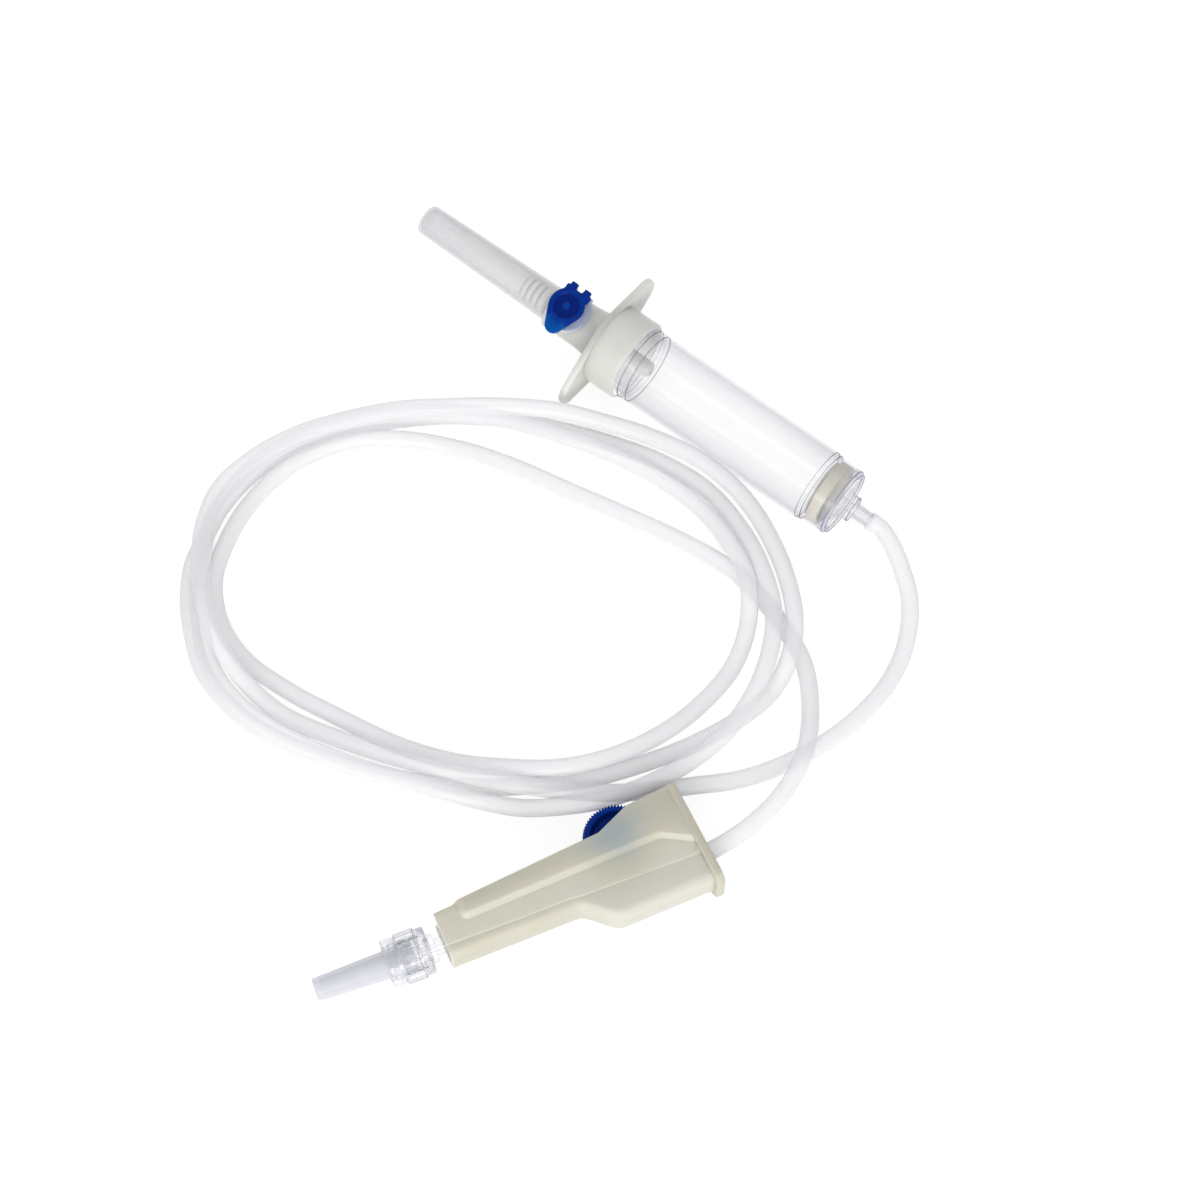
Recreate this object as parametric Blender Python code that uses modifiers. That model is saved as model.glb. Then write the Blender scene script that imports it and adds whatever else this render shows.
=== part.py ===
"""Infusion set, lying on a table as it comes out of its pack.

A vented spike with a protective cap, a drip chamber, a long tube in loose loops, a roller
clamp and a luer lock end with its cap. Every size below is in millimetres and is turned into
metres by MM. Sizes are measured along each assembly's own axis:

the chamber's axis runs from the spike to the outlet, and station 0 is the table side face of
the finger flange; the clamp's length runs from its narrow end to its wide end; the end
fitting's axis runs from the tube to the tip of its cone.
"""
import math

import bmesh
import bpy
import numpy as np
from mathutils import Matrix, Vector

MM = 0.001

# General
WALL_GAP = 0.3                   # gap kept between pieces that touch
RUNNING_GAP = 0.1                # radial clearance of a pin in its hole
ROUND = 32                       # sides of the large round pieces
SMALL_ROUND = 20                 # sides of the small round pieces

# Where the assemblies lie on the table, measured from the middle of the photographed group
TABLE_ORIGIN = (-12.94, -22.95, 0.0)
CHAMBER_X = -35.4
CHAMBER_Y = 51.2
CHAMBER_HEADING = -0.7           # degrees from +X to the outlet
CHAMBER_ROLL = 12.0              # degrees that the vent leans out of the upright
CLAMP_X = 27.6
CLAMP_Y = -91.35
CLAMP_HEADING = 60.0             # degrees from +X to the clamp's wide end
LUER_X = 21.1
LUER_Y = -91.6
LUER_HEADING = 237.2             # degrees from +X to the tip of the end fitting
LUER_TIP_RISE = 0.6              # degrees that the tip is raised

# Spike
SPIKE_TIP = -48.6
SPIKE_POINT_LENGTH = 8.0
SPIKE_TIP_RADIUS = 1.2
SPIKE_RADIUS = 2.75
SPIKE_ROOT_RADIUS = 3.05
SPIKE_BEVEL_ANGLE = 24.0         # degrees between the spike's axis and its slanted cut
RIDGE_FIRST = -24.4
RIDGE_PITCH = 1.7
RIDGE_COUNT = 4
RIDGE_LENGTH = 0.9
RIDGE_HEIGHT = 0.35
NECK_START = -16.4
FLUID_BORE_RADIUS = 0.9
FLUID_BORE_OFFSET = -0.8
AIR_BORE_RADIUS = 0.5
AIR_BORE_OFFSET = 1.25

# Protective cap of the spike
SPIKE_CAP_TIP = -55.2
SPIKE_CAP_TIP_RADIUS = 3.75
SPIKE_CAP_MOUTH_RADIUS = 4.35
SPIKE_CAP_WALL = 0.6
SPIKE_CAP_DOME = 0.9

# Body of the spike moulding
BODY_RADIUS = 5.5
BODY_FLARE_RADIUS = 6.4
FLANGE_THICKNESS = 1.3
FLANGE_EDGE = 0.2                # how far the flange stands out beyond the collar
WING_REACH = 18.3
WING_TIP_RADIUS = 3.6
COLLAR_LENGTH = 8.6
COLLAR_WALL = 0.85
COLLAR_CHAMFER = 0.5
CUP_FLOOR = 2.0
SPIGOT_LENGTH = 11.2
SPIGOT_WALL = 1.2

# Air vent
VENT_STATION = -10.9
VENT_BOSS_RADIUS = 5.2
VENT_BOSS_TOP = 5.4
VENT_WELL_RADIUS = 3.3
VENT_WELL_FLOOR = 3.4
FILTER_THICKNESS = 1.0
SEAT_RADIUS = 5.4
SEAT_TOP = 7.0
SEAT_LEDGE_TOP = 6.0
SEAT_NECK_RADIUS = 3.5
SEAT_BORE_RADIUS = 2.3
HINGE_OFFSET = 4.5               # from the vent's middle to the hinge, away from the finger tab
HINGE_HEIGHT = 6.75
HINGE_PIN_RADIUS = 0.3
HINGE_KNUCKLE_RADIUS = 0.65
KNUCKLE_INSET = 0.06
HINGE_LUG_WIDTH = 0.55
HINGE_LUG_OUTER = 3.55
HINGE_NOTCH_FLOOR = 4.0          # lowest height of the recess that the cap's ears turn in
VENT_CAP_SHIFT = -0.4            # the cap's disc sits a little towards the spike
VENT_CAP_RADIUS = 4.35
VENT_CAP_THICKNESS = 1.3
VENT_CAP_DISH_RADIUS = 3.3
VENT_CAP_DISH_DEPTH = 0.6
VENT_CAP_HUB_RADIUS = 1.2
VENT_CAP_TAB_REACH = 7.6
VENT_CAP_TAB_RADIUS = 2.15
VENT_CAP_TAB_SHIFT = 0.2
VENT_CAP_BLOCK_HALF = 3.25
VENT_CAP_BLOCK_REACH = 4.75
VENT_CAP_EAR_REACH = 5.65
VENT_CAP_EAR_WIDTH = 1.45
VENT_CAP_EAR_SPACING = 3.5
VENT_CAP_SKIRT_DEPTH = 1.4
VENT_CAP_SKIRT_WALL = 0.7

# Drip chamber
CHAMBER_RADIUS = 9.05
CHAMBER_WALL = 0.6
CHAMBER_BOTTOM = 61.7
CHAMBER_RING_STATION = 9.9
CHAMBER_RING_HEIGHT = 0.25
CHAMBER_RING_LENGTH = 1.2
DROPPER_RADIUS = 2.15
DROPPER_END = 13.6
DROPPER_BORE_RADIUS = 0.8
DROPPER_FOOT_RADIUS = 3.6
DROPPER_FOOT_THICKNESS = 1.0
BASE_RADIUS = 8.45
BASE_WALL = 0.75
BASE_FACE = 68.9
BASE_PLATE_THICKNESS = 2.0
BASE_CHAMFER = 0.6
BASE_SPIGOT_REACH = 4.0          # how far the base reaches up inside the chamber
RIB_COUNT = 6
RIB_THICKNESS = 0.9
POCKET_DEPTH = 1.1
HUB_RADIUS = 3.1
HUB_END = 71.5
NOZZLE_RADIUS = 2.15
NOZZLE_END = 76.4
NOZZLE_BORE_RADIUS = 1.2
FILTER_RING_TOP = 63.0
FILTER_RING_WALL = 1.4
FILTER_MESH_THICKNESS = 0.4

# Collar and flange round the top of the chamber
COLLAR_RADIUS = CHAMBER_RADIUS + WALL_GAP + COLLAR_WALL
FLANGE_RADIUS = COLLAR_RADIUS + FLANGE_EDGE

# Tube
TUBE_RADIUS = 2.05
TUBE_POINT_COUNT = 104
END_PIECE = 2.5                  # straight piece at each end of the tube
STRAIGHT_SHARE = 0.003           # how closely straight parts are divided beside bends

# Roller clamp, seen from its side: length from the narrow end, height from the floor
CLAMP_LENGTH = 60.0
CLAMP_HALF_WIDTH = 5.2
CLAMP_WALL = 1.25
CLAMP_FLOOR = 1.2
CLAMP_NARROW_HEIGHT = 10.9
CLAMP_MOUTH_START = 11.3
CLAMP_MOUTH_END = 13.3
CLAMP_RAMP_FOOT = 40.7
CLAMP_RAMP_TOP = 48.5
CLAMP_WIDE_HEIGHT = 16.6
CLAMP_FLOOR_DROP = 0.6
BELLY_START = 29.0
BELLY_FULL = 38.5
BELLY_DEPTH = 6.5
CLAMP_CORNER = 2.0
PANEL_START = 5.2
PANEL_HALF_WIDTH = 6.7
PANEL_RIDGE_HEIGHT = 6.7
PANEL_BEND = 52.0
PANEL_END_HEIGHT = 3.3
PANEL_BEVEL = 0.7
END_FLANGE_THICKNESS = 2.0
END_FLANGE_HALF_WIDTH = 7.0
END_FLANGE_TOP = 17.3
END_FLANGE_SETBACK = 0.6         # from the body's wide end to the flange's inner face
END_FLANGE_LEAN = 3.0            # degrees that its top leans towards the narrow end
END_FLANGE_BOTTOM = -7.3
END_FLANGE_CORNER = 4.0
ROLLER_STATION = 44.2
ROLLER_HEIGHT = 11.5
GROOVE_SLOPE = 2.8               # degrees that the groove climbs towards the wide end
ROLLER_TRAVEL_IN = 28.0
ROLLER_TRAVEL_OUT = 3.0
ROLLER_RADIUS = 7.7
ROLLER_TOOTH_COUNT = 90
ROLLER_TOOTH_DEPTH = 0.25
ROLLER_DISH_DEPTH = 0.9
ROLLER_RIM = 1.5
ROLLER_HUB_RADIUS = 2.4
AXLE_RADIUS = 1.1
AXLE_HALF_LENGTH = 5.0

# End fitting, its lock collar and its cap
STEM_START = -7.0
STEM_RADIUS = 1.9
STEM_BORE_RADIUS = 1.0
WING_HALF_WIDTH = 3.75
WING_START = -6.5
WING_THICKNESS = 0.9
STEM_DISC_RADIUS = 3.3
STEM_DISC_THICKNESS = 1.2
CONE_ROOT_RADIUS = 2.3
SNAP_RIDGE_RADIUS = 2.9          # ridge that keeps the collar on the fitting
SNAP_RIDGE_LENGTH = 0.5
CONE_TIP_RADIUS = 2.0
CONE_END = 10.4
LOCK_LENGTH = 9.8
LOCK_RIM_RADIUS = 5.35
LOCK_RIM_LENGTH = 2.0
LOCK_GRIP_RADIUS = 5.8
LOCK_GRIP_END = 6.6
LOCK_GRIP_COUNT = 16
LOCK_GRIP_DEPTH = 0.35
LOCK_BORE_RADIUS = 4.1
LOCK_FLOOR = 0.9
LUER_CAP_MOUTH = 3.4
LUER_CAP_TIP = 26.3
LUER_CAP_MOUTH_RADIUS = 3.35
LUER_CAP_TIP_RADIUS = 2.6
LUER_CAP_WALL = 0.75
LUER_CAP_END_WALL = 1.2
LUER_CAP_RIM = 0.35

# Middle line of the tube on the table, from the outlet to the clamp, chosen by hand:
# out of the chamber, three and three quarter loops, and into the clamp's wide end
ROUTE = [
    (44.0, 50.3, 8.4), (48.3, 48.6, 7.6), (52.5, 46.0, 6.5), (59.0, 40.5, 4.6), (64.0, 31.5, 2.8),
    (66.0, 21.0, 2.1), (64.5, 7.5, 2.1), (60.0, -5.0, 2.1), (53.0, -16.5, 2.1),
    (44.1, -25.5, 2.1), (35.9, -33.3, 2.4), (29.0, -39.5, 3.9), (22.0, -44.5, 5.4),
    (14.0, -49.5, 6.9), (1.5, -55.0, 6.3), (-12.0, -60.0, 5.0), (-25.5, -64.0, 4.0),
    (-40.5, -67.3, 4.4), (-51.5, -66.5, 6.4), (-60.5, -63.7, 9.3), (-69.0, -58.5, 10.9),
    (-76.0, -51.5, 11.0), (-81.5, -44.0, 11.0), (-85.0, -33.5, 11.0), (-83.5, -22.5, 11.0),
    (-79.0, -11.5, 11.0), (-72.0, -1.5, 11.0), (-64.0, 7.5, 11.0), (-55.0, 15.0, 11.0),
    (-45.5, 22.3, 10.9), (-34.0, 30.0, 9.6), (-25.5, 34.5, 7.2), (-14.5, 39.0, 5.2),
    (-1.0, 41.4, 4.6), (12.0, 39.7, 4.6), (24.0, 34.3, 5.2), (35.0, 26.3, 6.2),
    (41.7, 18.7, 6.7), (45.0, 11.5, 5.2), (45.7, 4.0, 2.1), (43.5, -6.0, 2.1),
    (38.5, -17.5, 2.1), (32.0, -28.0, 2.1), (25.0, -37.3, 2.1), (16.5, -45.5, 2.1),
    (6.0, -54.0, 2.1), (-5.5, -61.0, 2.1), (-20.5, -67.5, 2.1), (-37.0, -72.0, 2.1),
    (-50.0, -72.5, 2.1), (-61.5, -69.5, 2.1), (-70.0, -63.5, 2.1), (-76.5, -57.0, 2.1),
    (-81.0, -50.0, 2.1), (-83.0, -43.5, 2.1), (-85.0, -35.0, 2.1), (-85.0, -25.5, 2.1),
    (-82.5, -15.0, 2.1), (-76.5, -4.5, 2.1), (-69.0, 5.0, 2.1), (-58.5, 15.0, 2.1),
    (-46.5, 23.0, 2.1), (-33.5, 29.0, 2.1), (-21.5, 33.3, 2.1), (-9.5, 36.3, 2.1),
    (3.5, 37.0, 2.1), (15.0, 33.5, 3.6), (25.3, 27.8, 5.8), (35.3, 19.3, 6.9),
    (40.3, 11.0, 7.0), (43.5, 0.5, 6.9), (44.0, -10.5, 6.5), (41.5, -21.5, 5.8),
    (37.5, -31.5, 6.8), (31.5, -41.0, 7.0), (24.0, -48.0, 5.6), (16.5, -53.0, 3.6),
    (7.5, -57.7, 4.9), (-4.0, -62.5, 6.5), (-19.5, -68.0, 6.6), (-37.0, -71.7, 6.6),
    (-48.5, -71.7, 6.6), (-59.0, -68.7, 6.5), (-67.0, -62.7, 6.5), (-73.5, -56.0, 6.5),
    (-79.0, -48.0, 6.5), (-83.5, -39.0, 6.5), (-84.5, -29.0, 6.5), (-83.0, -18.0, 6.5),
    (-77.5, -6.0, 6.5), (-68.5, 5.0, 6.5), (-57.5, 14.5, 6.5), (-45.0, 21.5, 6.5),
    (-31.5, 26.3, 6.5), (-19.5, 30.0, 5.0), (-6.5, 32.3, 3.4), (6.0, 31.5, 3.8),
    (17.0, 27.5, 5.8), (26.0, 22.0, 6.9), (32.0, 14.0, 4.2), (35.0, 4.0, 2.2),
    (34.5, -8.0, 2.2), (31.5, -21.3, 4.8), (25.5, -32.7, 5.8), (18.0, -41.3, 6.3),
    (9.5, -47.0, 5.3), (-2.0, -52.5, 2.4), (-14.5, -56.8, 2.1), (-29.5, -59.5, 2.1),
    (-43.0, -61.3, 2.1), (-56.0, -61.3, 2.1), (-66.5, -57.5, 2.1), (-74.5, -50.0, 2.1),
    (-78.5, -40.5, 2.1), (-80.3, -29.0, 2.1), (-78.3, -17.0, 3.6), (-72.3, -5.7, 4.3),
    (-64.0, 2.3, 4.0), (-51.5, 10.0, 2.1), (-37.5, 14.5, 2.1), (-22.0, 17.5, 2.1),
    (-6.5, 20.5, 2.1), (9.0, 23.0, 2.1), (23.0, 23.5, 2.1), (37.5, 19.5, 2.1),
    (48.0, 14.0, 2.1), (55.5, 5.5, 3.4), (61.0, -5.0, 6.7), (62.7, -16.0, 6.9),
    (61.3, -26.5, 6.9),
]
# Middle line inside the clamp, as length and height in the clamp's own side view
CLAMP_ROUTE = [(62.5, 1.3), (53.0, 1.2), (44.2, 1.2), (35.0, 2.3), (25.0, 3.4), (15.0, 4.2)]


def clean_scene():
    for obj in list(bpy.data.objects):
        bpy.data.objects.remove(obj, do_unlink=True)


def collection(name):
    group = bpy.data.collections.new(name)
    bpy.context.scene.collection.children.link(group)
    return group


def material(name, color, roughness, alpha=1.0, transmission=0.0):
    mat = bpy.data.materials.new(name)
    mat.use_nodes = True
    shader = mat.node_tree.nodes["Principled BSDF"]
    shader.inputs["Base Color"].default_value = (*color, 1.0)
    shader.inputs["Roughness"].default_value = roughness
    shader.inputs["Alpha"].default_value = alpha
    shader.inputs["Transmission Weight"].default_value = transmission
    mat.diffuse_color = (*color, alpha)
    return mat


def heading(degrees, rise=0.0):
    """Unit vector over the table at an angle from +X, raised by some degrees."""
    turn = math.radians(degrees)
    lift = math.radians(rise)
    return Vector((math.cos(turn) * math.cos(lift), math.sin(turn) * math.cos(lift), math.sin(lift)))


def rig(name, place, along_x, along_z, parent):
    """Empty whose X and Z axes point as given; pieces are modelled in its axes."""
    z_axis = along_z.normalized()
    x_axis = (along_x - along_x.dot(z_axis) * z_axis).normalized()
    y_axis = z_axis.cross(x_axis)
    turn = Matrix((x_axis, y_axis, z_axis)).transposed()
    empty = bpy.data.objects.new(name, None)
    empty.empty_display_size = 0.01
    empty.rotation_euler = turn.to_euler()
    empty.location = Vector(place) * MM
    empty.parent = parent
    PARTS.objects.link(empty)
    return empty


def place_object(name, mesh, parent, group, mat=None):
    obj = bpy.data.objects.new(name, mesh)
    obj.parent = parent
    group.objects.link(obj)
    if mat is not None:
        mesh.materials.clear()
        mesh.materials.append(mat)
    return obj


def smooth(obj, angle=35.0):
    obj.data.shade_smooth()
    obj.data.set_sharp_from_angle(angle=math.radians(angle))
    return obj


def as_tool(obj):
    """A helper body: kept out of renders and drawn as wires."""
    obj.hide_render = True
    obj.display_type = 'WIRE'
    return obj


def boolean(obj, tool, operation):
    modifier = obj.modifiers.new(f"{operation.lower()} {tool.name}", 'BOOLEAN')
    modifier.operation = operation
    modifier.solver = 'EXACT'
    modifier.object = tool
    as_tool(tool)


def screw(obj, sides):
    modifier = obj.modifiers.new("turn", 'SCREW')
    modifier.axis = 'Z'
    modifier.angle = math.tau
    modifier.steps = sides
    modifier.render_steps = sides
    modifier.use_merge_vertices = True
    modifier.merge_threshold = 0.00001
    return obj


def turned(name, profile, parent, group, mat=None, sides=ROUND):
    """Body of revolution about Z from (radius, station) points in mm.

    The profile runs down the outer side, from the high station to the low one. It is closed
    through the bore where its ends are off the axis.
    """
    mesh = bpy.data.meshes.new(name)
    points = [(radius * MM, 0.0, station * MM) for radius, station in profile]
    edges = [(i, i + 1) for i in range(len(points) - 1)]
    on_axis = profile[0][0] == 0.0 and profile[-1][0] == 0.0
    if not on_axis:
        edges.append((len(points) - 1, 0))
    mesh.from_pydata(points, edges, [])
    obj = place_object(name, mesh, parent, group, mat)
    screw(obj, sides)
    return obj


def bake(obj):
    """Replace an object's mesh by its evaluated one, and drop its modifiers."""
    view = bpy.context.evaluated_depsgraph_get()
    mesh = bpy.data.meshes.new_from_object(obj.evaluated_get(view))
    obj.modifiers.clear()
    obj.data = mesh
    return obj


def prism(name, outline, low, high, parent, group, mat=None, plane='XY', rounded=None, width=0.0, steps=3):
    """Flat outline in mm, carried from low to high across its plane.

    plane XY carries it along Z, plane YZ along X. Edges whose two ends satisfy rounded are
    bevelled by width.
    """
    mesh = bpy.data.meshes.new(name)
    shape = bmesh.new()

    def corner(point, level):
        first, second = point
        if plane == 'XY':
            return Vector((first, second, level)) * MM
        return Vector((level, first, second)) * MM

    bottom = [shape.verts.new(corner(p, low)) for p in outline]
    top = [shape.verts.new(corner(p, high)) for p in outline]
    count = len(outline)
    shape.faces.new(bottom[::-1])
    shape.faces.new(top)
    for i in range(count):
        j = (i + 1) % count
        shape.faces.new((bottom[i], bottom[j], top[j], top[i]))
    bmesh.ops.recalc_face_normals(shape, faces=shape.faces)
    if rounded is not None:
        chosen = [e for e in shape.edges if rounded(e.verts[0].co / MM, e.verts[1].co / MM)]
        bmesh.ops.bevel(shape, geom=chosen, offset=width * MM, segments=steps, profile=0.5,
                        affect='EDGES', clamp_overlap=True)
    shape.to_mesh(mesh)
    shape.free()
    return place_object(name, mesh, parent, group, mat)


def cylinder(name, radius, start, end, parent, group, sides=SMALL_ROUND, mat=None, offset=(0.0, 0.0), axis='Z'):
    """Closed cylinder between two stations of an axis, in mm, at an offset from it."""
    mesh = bpy.data.meshes.new(name)
    shape = bmesh.new()
    bmesh.ops.create_cone(shape, cap_ends=True, segments=sides, radius1=radius * MM,
                          radius2=radius * MM, depth=(end - start) * MM)
    middle = (start + end) / 2
    if axis == 'Z':
        turn = Matrix.Identity(4)
        shift = Vector((offset[0], offset[1], middle))
    elif axis == 'X':
        turn = Matrix.Rotation(math.pi / 2, 4, 'Y')
        shift = Vector((middle, offset[0], offset[1]))
    else:
        turn = Matrix.Rotation(-math.pi / 2, 4, 'X')
        shift = Vector((offset[0], middle, offset[1]))
    bmesh.ops.transform(shape, matrix=Matrix.Translation(shift * MM) @ turn, verts=shape.verts)
    shape.to_mesh(mesh)
    shape.free()
    return place_object(name, mesh, parent, group, mat)


def block(name, low, high, parent, group):
    """Box between two corners, in mm."""
    mesh = bpy.data.meshes.new(name)
    shape = bmesh.new()
    bmesh.ops.create_cube(shape, size=1.0)
    size = (Vector(high) - Vector(low)) * MM
    middle = (Vector(high) + Vector(low)) * 0.5 * MM
    bmesh.ops.transform(shape, matrix=Matrix.Translation(middle) @ Matrix.Diagonal((*size, 1.0)),
                        verts=shape.verts)
    shape.to_mesh(mesh)
    shape.free()
    return place_object(name, mesh, parent, group)


def arc(centre, radius, start, end, count):
    """Points on a circle from one angle to another, in degrees, both ends included."""
    turns = np.radians(np.linspace(start, end, count))
    return [(centre[0] + radius * math.cos(t), centre[1] + radius * math.sin(t)) for t in turns]


def oval_outline(big, small, reach, points):
    """Tangent hull of a circle at the middle and two smaller ones, for the finger flange.

    The long direction is the second coordinate, and reach is half the length over all.
    """
    centre = reach - small
    lean = math.degrees(math.asin((big - small) / centre))
    side = arc((0.0, 0.0), big, -lean, lean, points)
    tip = arc((0.0, centre), small, lean, 180.0 - lean, points)
    other_side = arc((0.0, 0.0), big, 180.0 - lean, 180.0 + lean, points)
    other_tip = arc((0.0, -centre), small, 180.0 + lean, 360.0 - lean, points)
    return side + tip + other_side + other_tip


def clamp_floor_line(inset):
    """Outer floor of the clamp in its side view, from the narrow end to the wide end.

    It falls slightly, then drops into the belly along half a cosine wave. inset raises the
    line by the floor's thickness, for the channel's own floor.
    """
    line = [(0.0, inset), (BELLY_START, inset - CLAMP_FLOOR_DROP)]
    steps = 7
    for i in range(1, steps + 1):
        share = i / steps
        drop = 0.5 - 0.5 * math.cos(math.pi * share)
        height = -CLAMP_FLOOR_DROP + (CLAMP_FLOOR_DROP - BELLY_DEPTH) * drop
        line.append((BELLY_START + (BELLY_FULL - BELLY_START) * share, inset + height))
    line.append((CLAMP_LENGTH, inset - BELLY_DEPTH))
    return line


def smooth_route(points, count):
    """Points on a centripetal Catmull-Rom curve through the given ones, closer where it bends.

    A short straight piece is kept at both ends, so that the end faces stay square.
    """
    knots = np.array(points, dtype=float)
    first = 2 * knots[0] - knots[1]
    last = 2 * knots[-1] - knots[-2]
    knots = np.vstack([first, knots, last])
    fine = []
    for i in range(1, len(knots) - 2):
        p0, p1, p2, p3 = knots[i - 1:i + 3]
        t1 = np.linalg.norm(p1 - p0) ** 0.5
        t2 = t1 + np.linalg.norm(p2 - p1) ** 0.5
        t3 = t2 + np.linalg.norm(p3 - p2) ** 0.5
        t = np.linspace(t1, t2, 16, endpoint=False)[:, None]
        a1 = (t1 - t) / t1 * p0 + t / t1 * p1
        a2 = (t2 - t) / (t2 - t1) * p1 + (t - t1) / (t2 - t1) * p2
        a3 = (t3 - t) / (t3 - t2) * p2 + (t - t2) / (t3 - t2) * p3
        b1 = (t2 - t) / t2 * a1 + t / t2 * a2
        b2 = (t3 - t) / (t3 - t1) * a2 + (t - t1) / (t3 - t1) * a3
        fine.append((t2 - t) / (t2 - t1) * b1 + (t - t1) / (t2 - t1) * b2)
    fine = np.vstack(fine + [knots[-2:-1]])
    steps = np.linalg.norm(np.diff(fine, axis=0), axis=1)
    along = np.concatenate([[0.0], np.cumsum(steps)])
    ways = np.gradient(fine, along, axis=0)
    bend = np.linalg.norm(np.gradient(ways, along, axis=0), axis=1)
    share = np.sqrt(np.convolve(bend, np.ones(9) / 9, mode='same') + STRAIGHT_SHARE)
    weight = np.concatenate([[0.0], np.cumsum(steps * (share[1:] + share[:-1]) / 2)])
    inner = np.interp(np.linspace(0.0, weight[-1], count - 2), weight, along)
    ends = [0.0, END_PIECE, along[-1] - END_PIECE, along[-1]]
    wanted = np.sort(np.concatenate([ends, inner[1:-1]]))
    line = np.column_stack([np.interp(wanted, along, fine[:, k]) for k in range(3)])
    line[:, 2] = np.maximum(line[:, 2], TUBE_RADIUS)
    return line


def make_materials():
    return {
        "ivory": material("ivory", (0.80, 0.80, 0.74), 0.35),
        "clamp": material("clamp ivory", (0.83, 0.81, 0.70), 0.35),
        "blue": material("blue", (0.01, 0.07, 0.45), 0.3),
        "clear": material("clear", (0.93, 0.94, 0.96), 0.05, alpha=0.25, transmission=0.9),
        "frosted": material("frosted", (0.86, 0.86, 0.92), 0.5, alpha=0.6, transmission=0.5),
        "tube": material("tube", (0.92, 0.93, 0.95), 0.2, alpha=0.5, transmission=0.6),
        "filter": material("filter", (0.74, 0.71, 0.62), 0.6),
        "mesh": material("mesh", (0.85, 0.85, 0.82), 0.8),
    }


def spike_section():
    """Outer line of the spike moulding, from the cup's rim back to the spike's tip."""
    spigot_radius = CHAMBER_RADIUS - CHAMBER_WALL - WALL_GAP
    slot_radius = CHAMBER_RADIUS + WALL_GAP
    line = [
        (COLLAR_RADIUS - COLLAR_CHAMFER, COLLAR_LENGTH),
        (COLLAR_RADIUS, COLLAR_LENGTH - COLLAR_CHAMFER),
        (COLLAR_RADIUS, -FLANGE_THICKNESS / 2),
        (BODY_FLARE_RADIUS, -FLANGE_THICKNESS / 2),
        (BODY_FLARE_RADIUS, -FLANGE_THICKNESS),
        (BODY_RADIUS, VENT_STATION + VENT_BOSS_RADIUS),
        (BODY_RADIUS, NECK_START + 2 * WALL_GAP),
        (BODY_RADIUS - WALL_GAP, NECK_START + WALL_GAP),
        (SPIKE_ROOT_RADIUS, NECK_START + WALL_GAP),
    ]
    ridge_radius = SPIKE_ROOT_RADIUS + RIDGE_HEIGHT
    for i in reversed(range(RIDGE_COUNT)):
        start = RIDGE_FIRST + i * RIDGE_PITCH
        line += [
            (SPIKE_ROOT_RADIUS, start + RIDGE_LENGTH + 0.2),
            (ridge_radius, start + RIDGE_LENGTH),
            (ridge_radius, start + 0.4),
            (SPIKE_ROOT_RADIUS, start),
        ]
    line += [
        (SPIKE_RADIUS, SPIKE_TIP + SPIKE_POINT_LENGTH),
        (SPIKE_TIP_RADIUS, SPIKE_TIP),
        (0.0, SPIKE_TIP),
    ]
    inside = [
        (0.0, CUP_FLOOR),
        (spigot_radius - SPIGOT_WALL, CUP_FLOOR),
        (spigot_radius - SPIGOT_WALL, SPIGOT_LENGTH),
        (spigot_radius, SPIGOT_LENGTH),
        (spigot_radius, CUP_FLOOR),
        (slot_radius, CUP_FLOOR),
        (slot_radius, COLLAR_LENGTH),
    ]
    return inside + line


def make_spike_body(axis, mats):
    body = turned("spike_body", spike_section(), axis, PARTS, mats["ivory"])

    flange = prism("flange plate", oval_outline(FLANGE_RADIUS, WING_TIP_RADIUS, WING_REACH, 7),
                   -FLANGE_THICKNESS, 0.0, axis, TOOLS)
    boolean(body, flange, 'UNION')

    boss = cylinder("vent boss", VENT_BOSS_RADIUS, 0.5, VENT_BOSS_TOP, axis, TOOLS, sides=24,
                    offset=(0.0, VENT_STATION), axis='X')
    boolean(body, boss, 'UNION')

    well = cylinder("vent well", VENT_WELL_RADIUS, VENT_WELL_FLOOR, VENT_BOSS_TOP + 1.0, axis, TOOLS,
                    sides=20, offset=(0.0, VENT_STATION), axis='X')
    boolean(body, well, 'DIFFERENCE')

    air = cylinder("air channel", AIR_BORE_RADIUS, SPIKE_TIP - 1.0, VENT_STATION, axis, TOOLS, sides=8,
                   offset=(AIR_BORE_OFFSET, 0.0))
    boolean(body, air, 'DIFFERENCE')

    riser = cylinder("air riser", AIR_BORE_RADIUS, AIR_BORE_OFFSET, VENT_WELL_FLOOR + 1.0, axis, TOOLS, sides=8,
                     offset=(0.0, VENT_STATION - AIR_BORE_RADIUS), axis='X')
    boolean(body, riser, 'DIFFERENCE')

    fluid = cylinder("fluid channel", FLUID_BORE_RADIUS, SPIKE_TIP - 1.0, CUP_FLOOR + 1.0, axis, TOOLS,
                     sides=12, offset=(FLUID_BORE_OFFSET, 0.0))
    boolean(body, fluid, 'DIFFERENCE')

    point = block("point cut", (-12.0, -8.0, -24.0), (0.0, 8.0, 12.0), axis, TOOLS)
    point.location = Vector((SPIKE_TIP_RADIUS, 0.0, SPIKE_TIP)) * MM
    point.rotation_euler = (0.0, -math.radians(SPIKE_BEVEL_ANGLE), 0.0)
    boolean(body, point, 'DIFFERENCE')
    return smooth(body)


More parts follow.
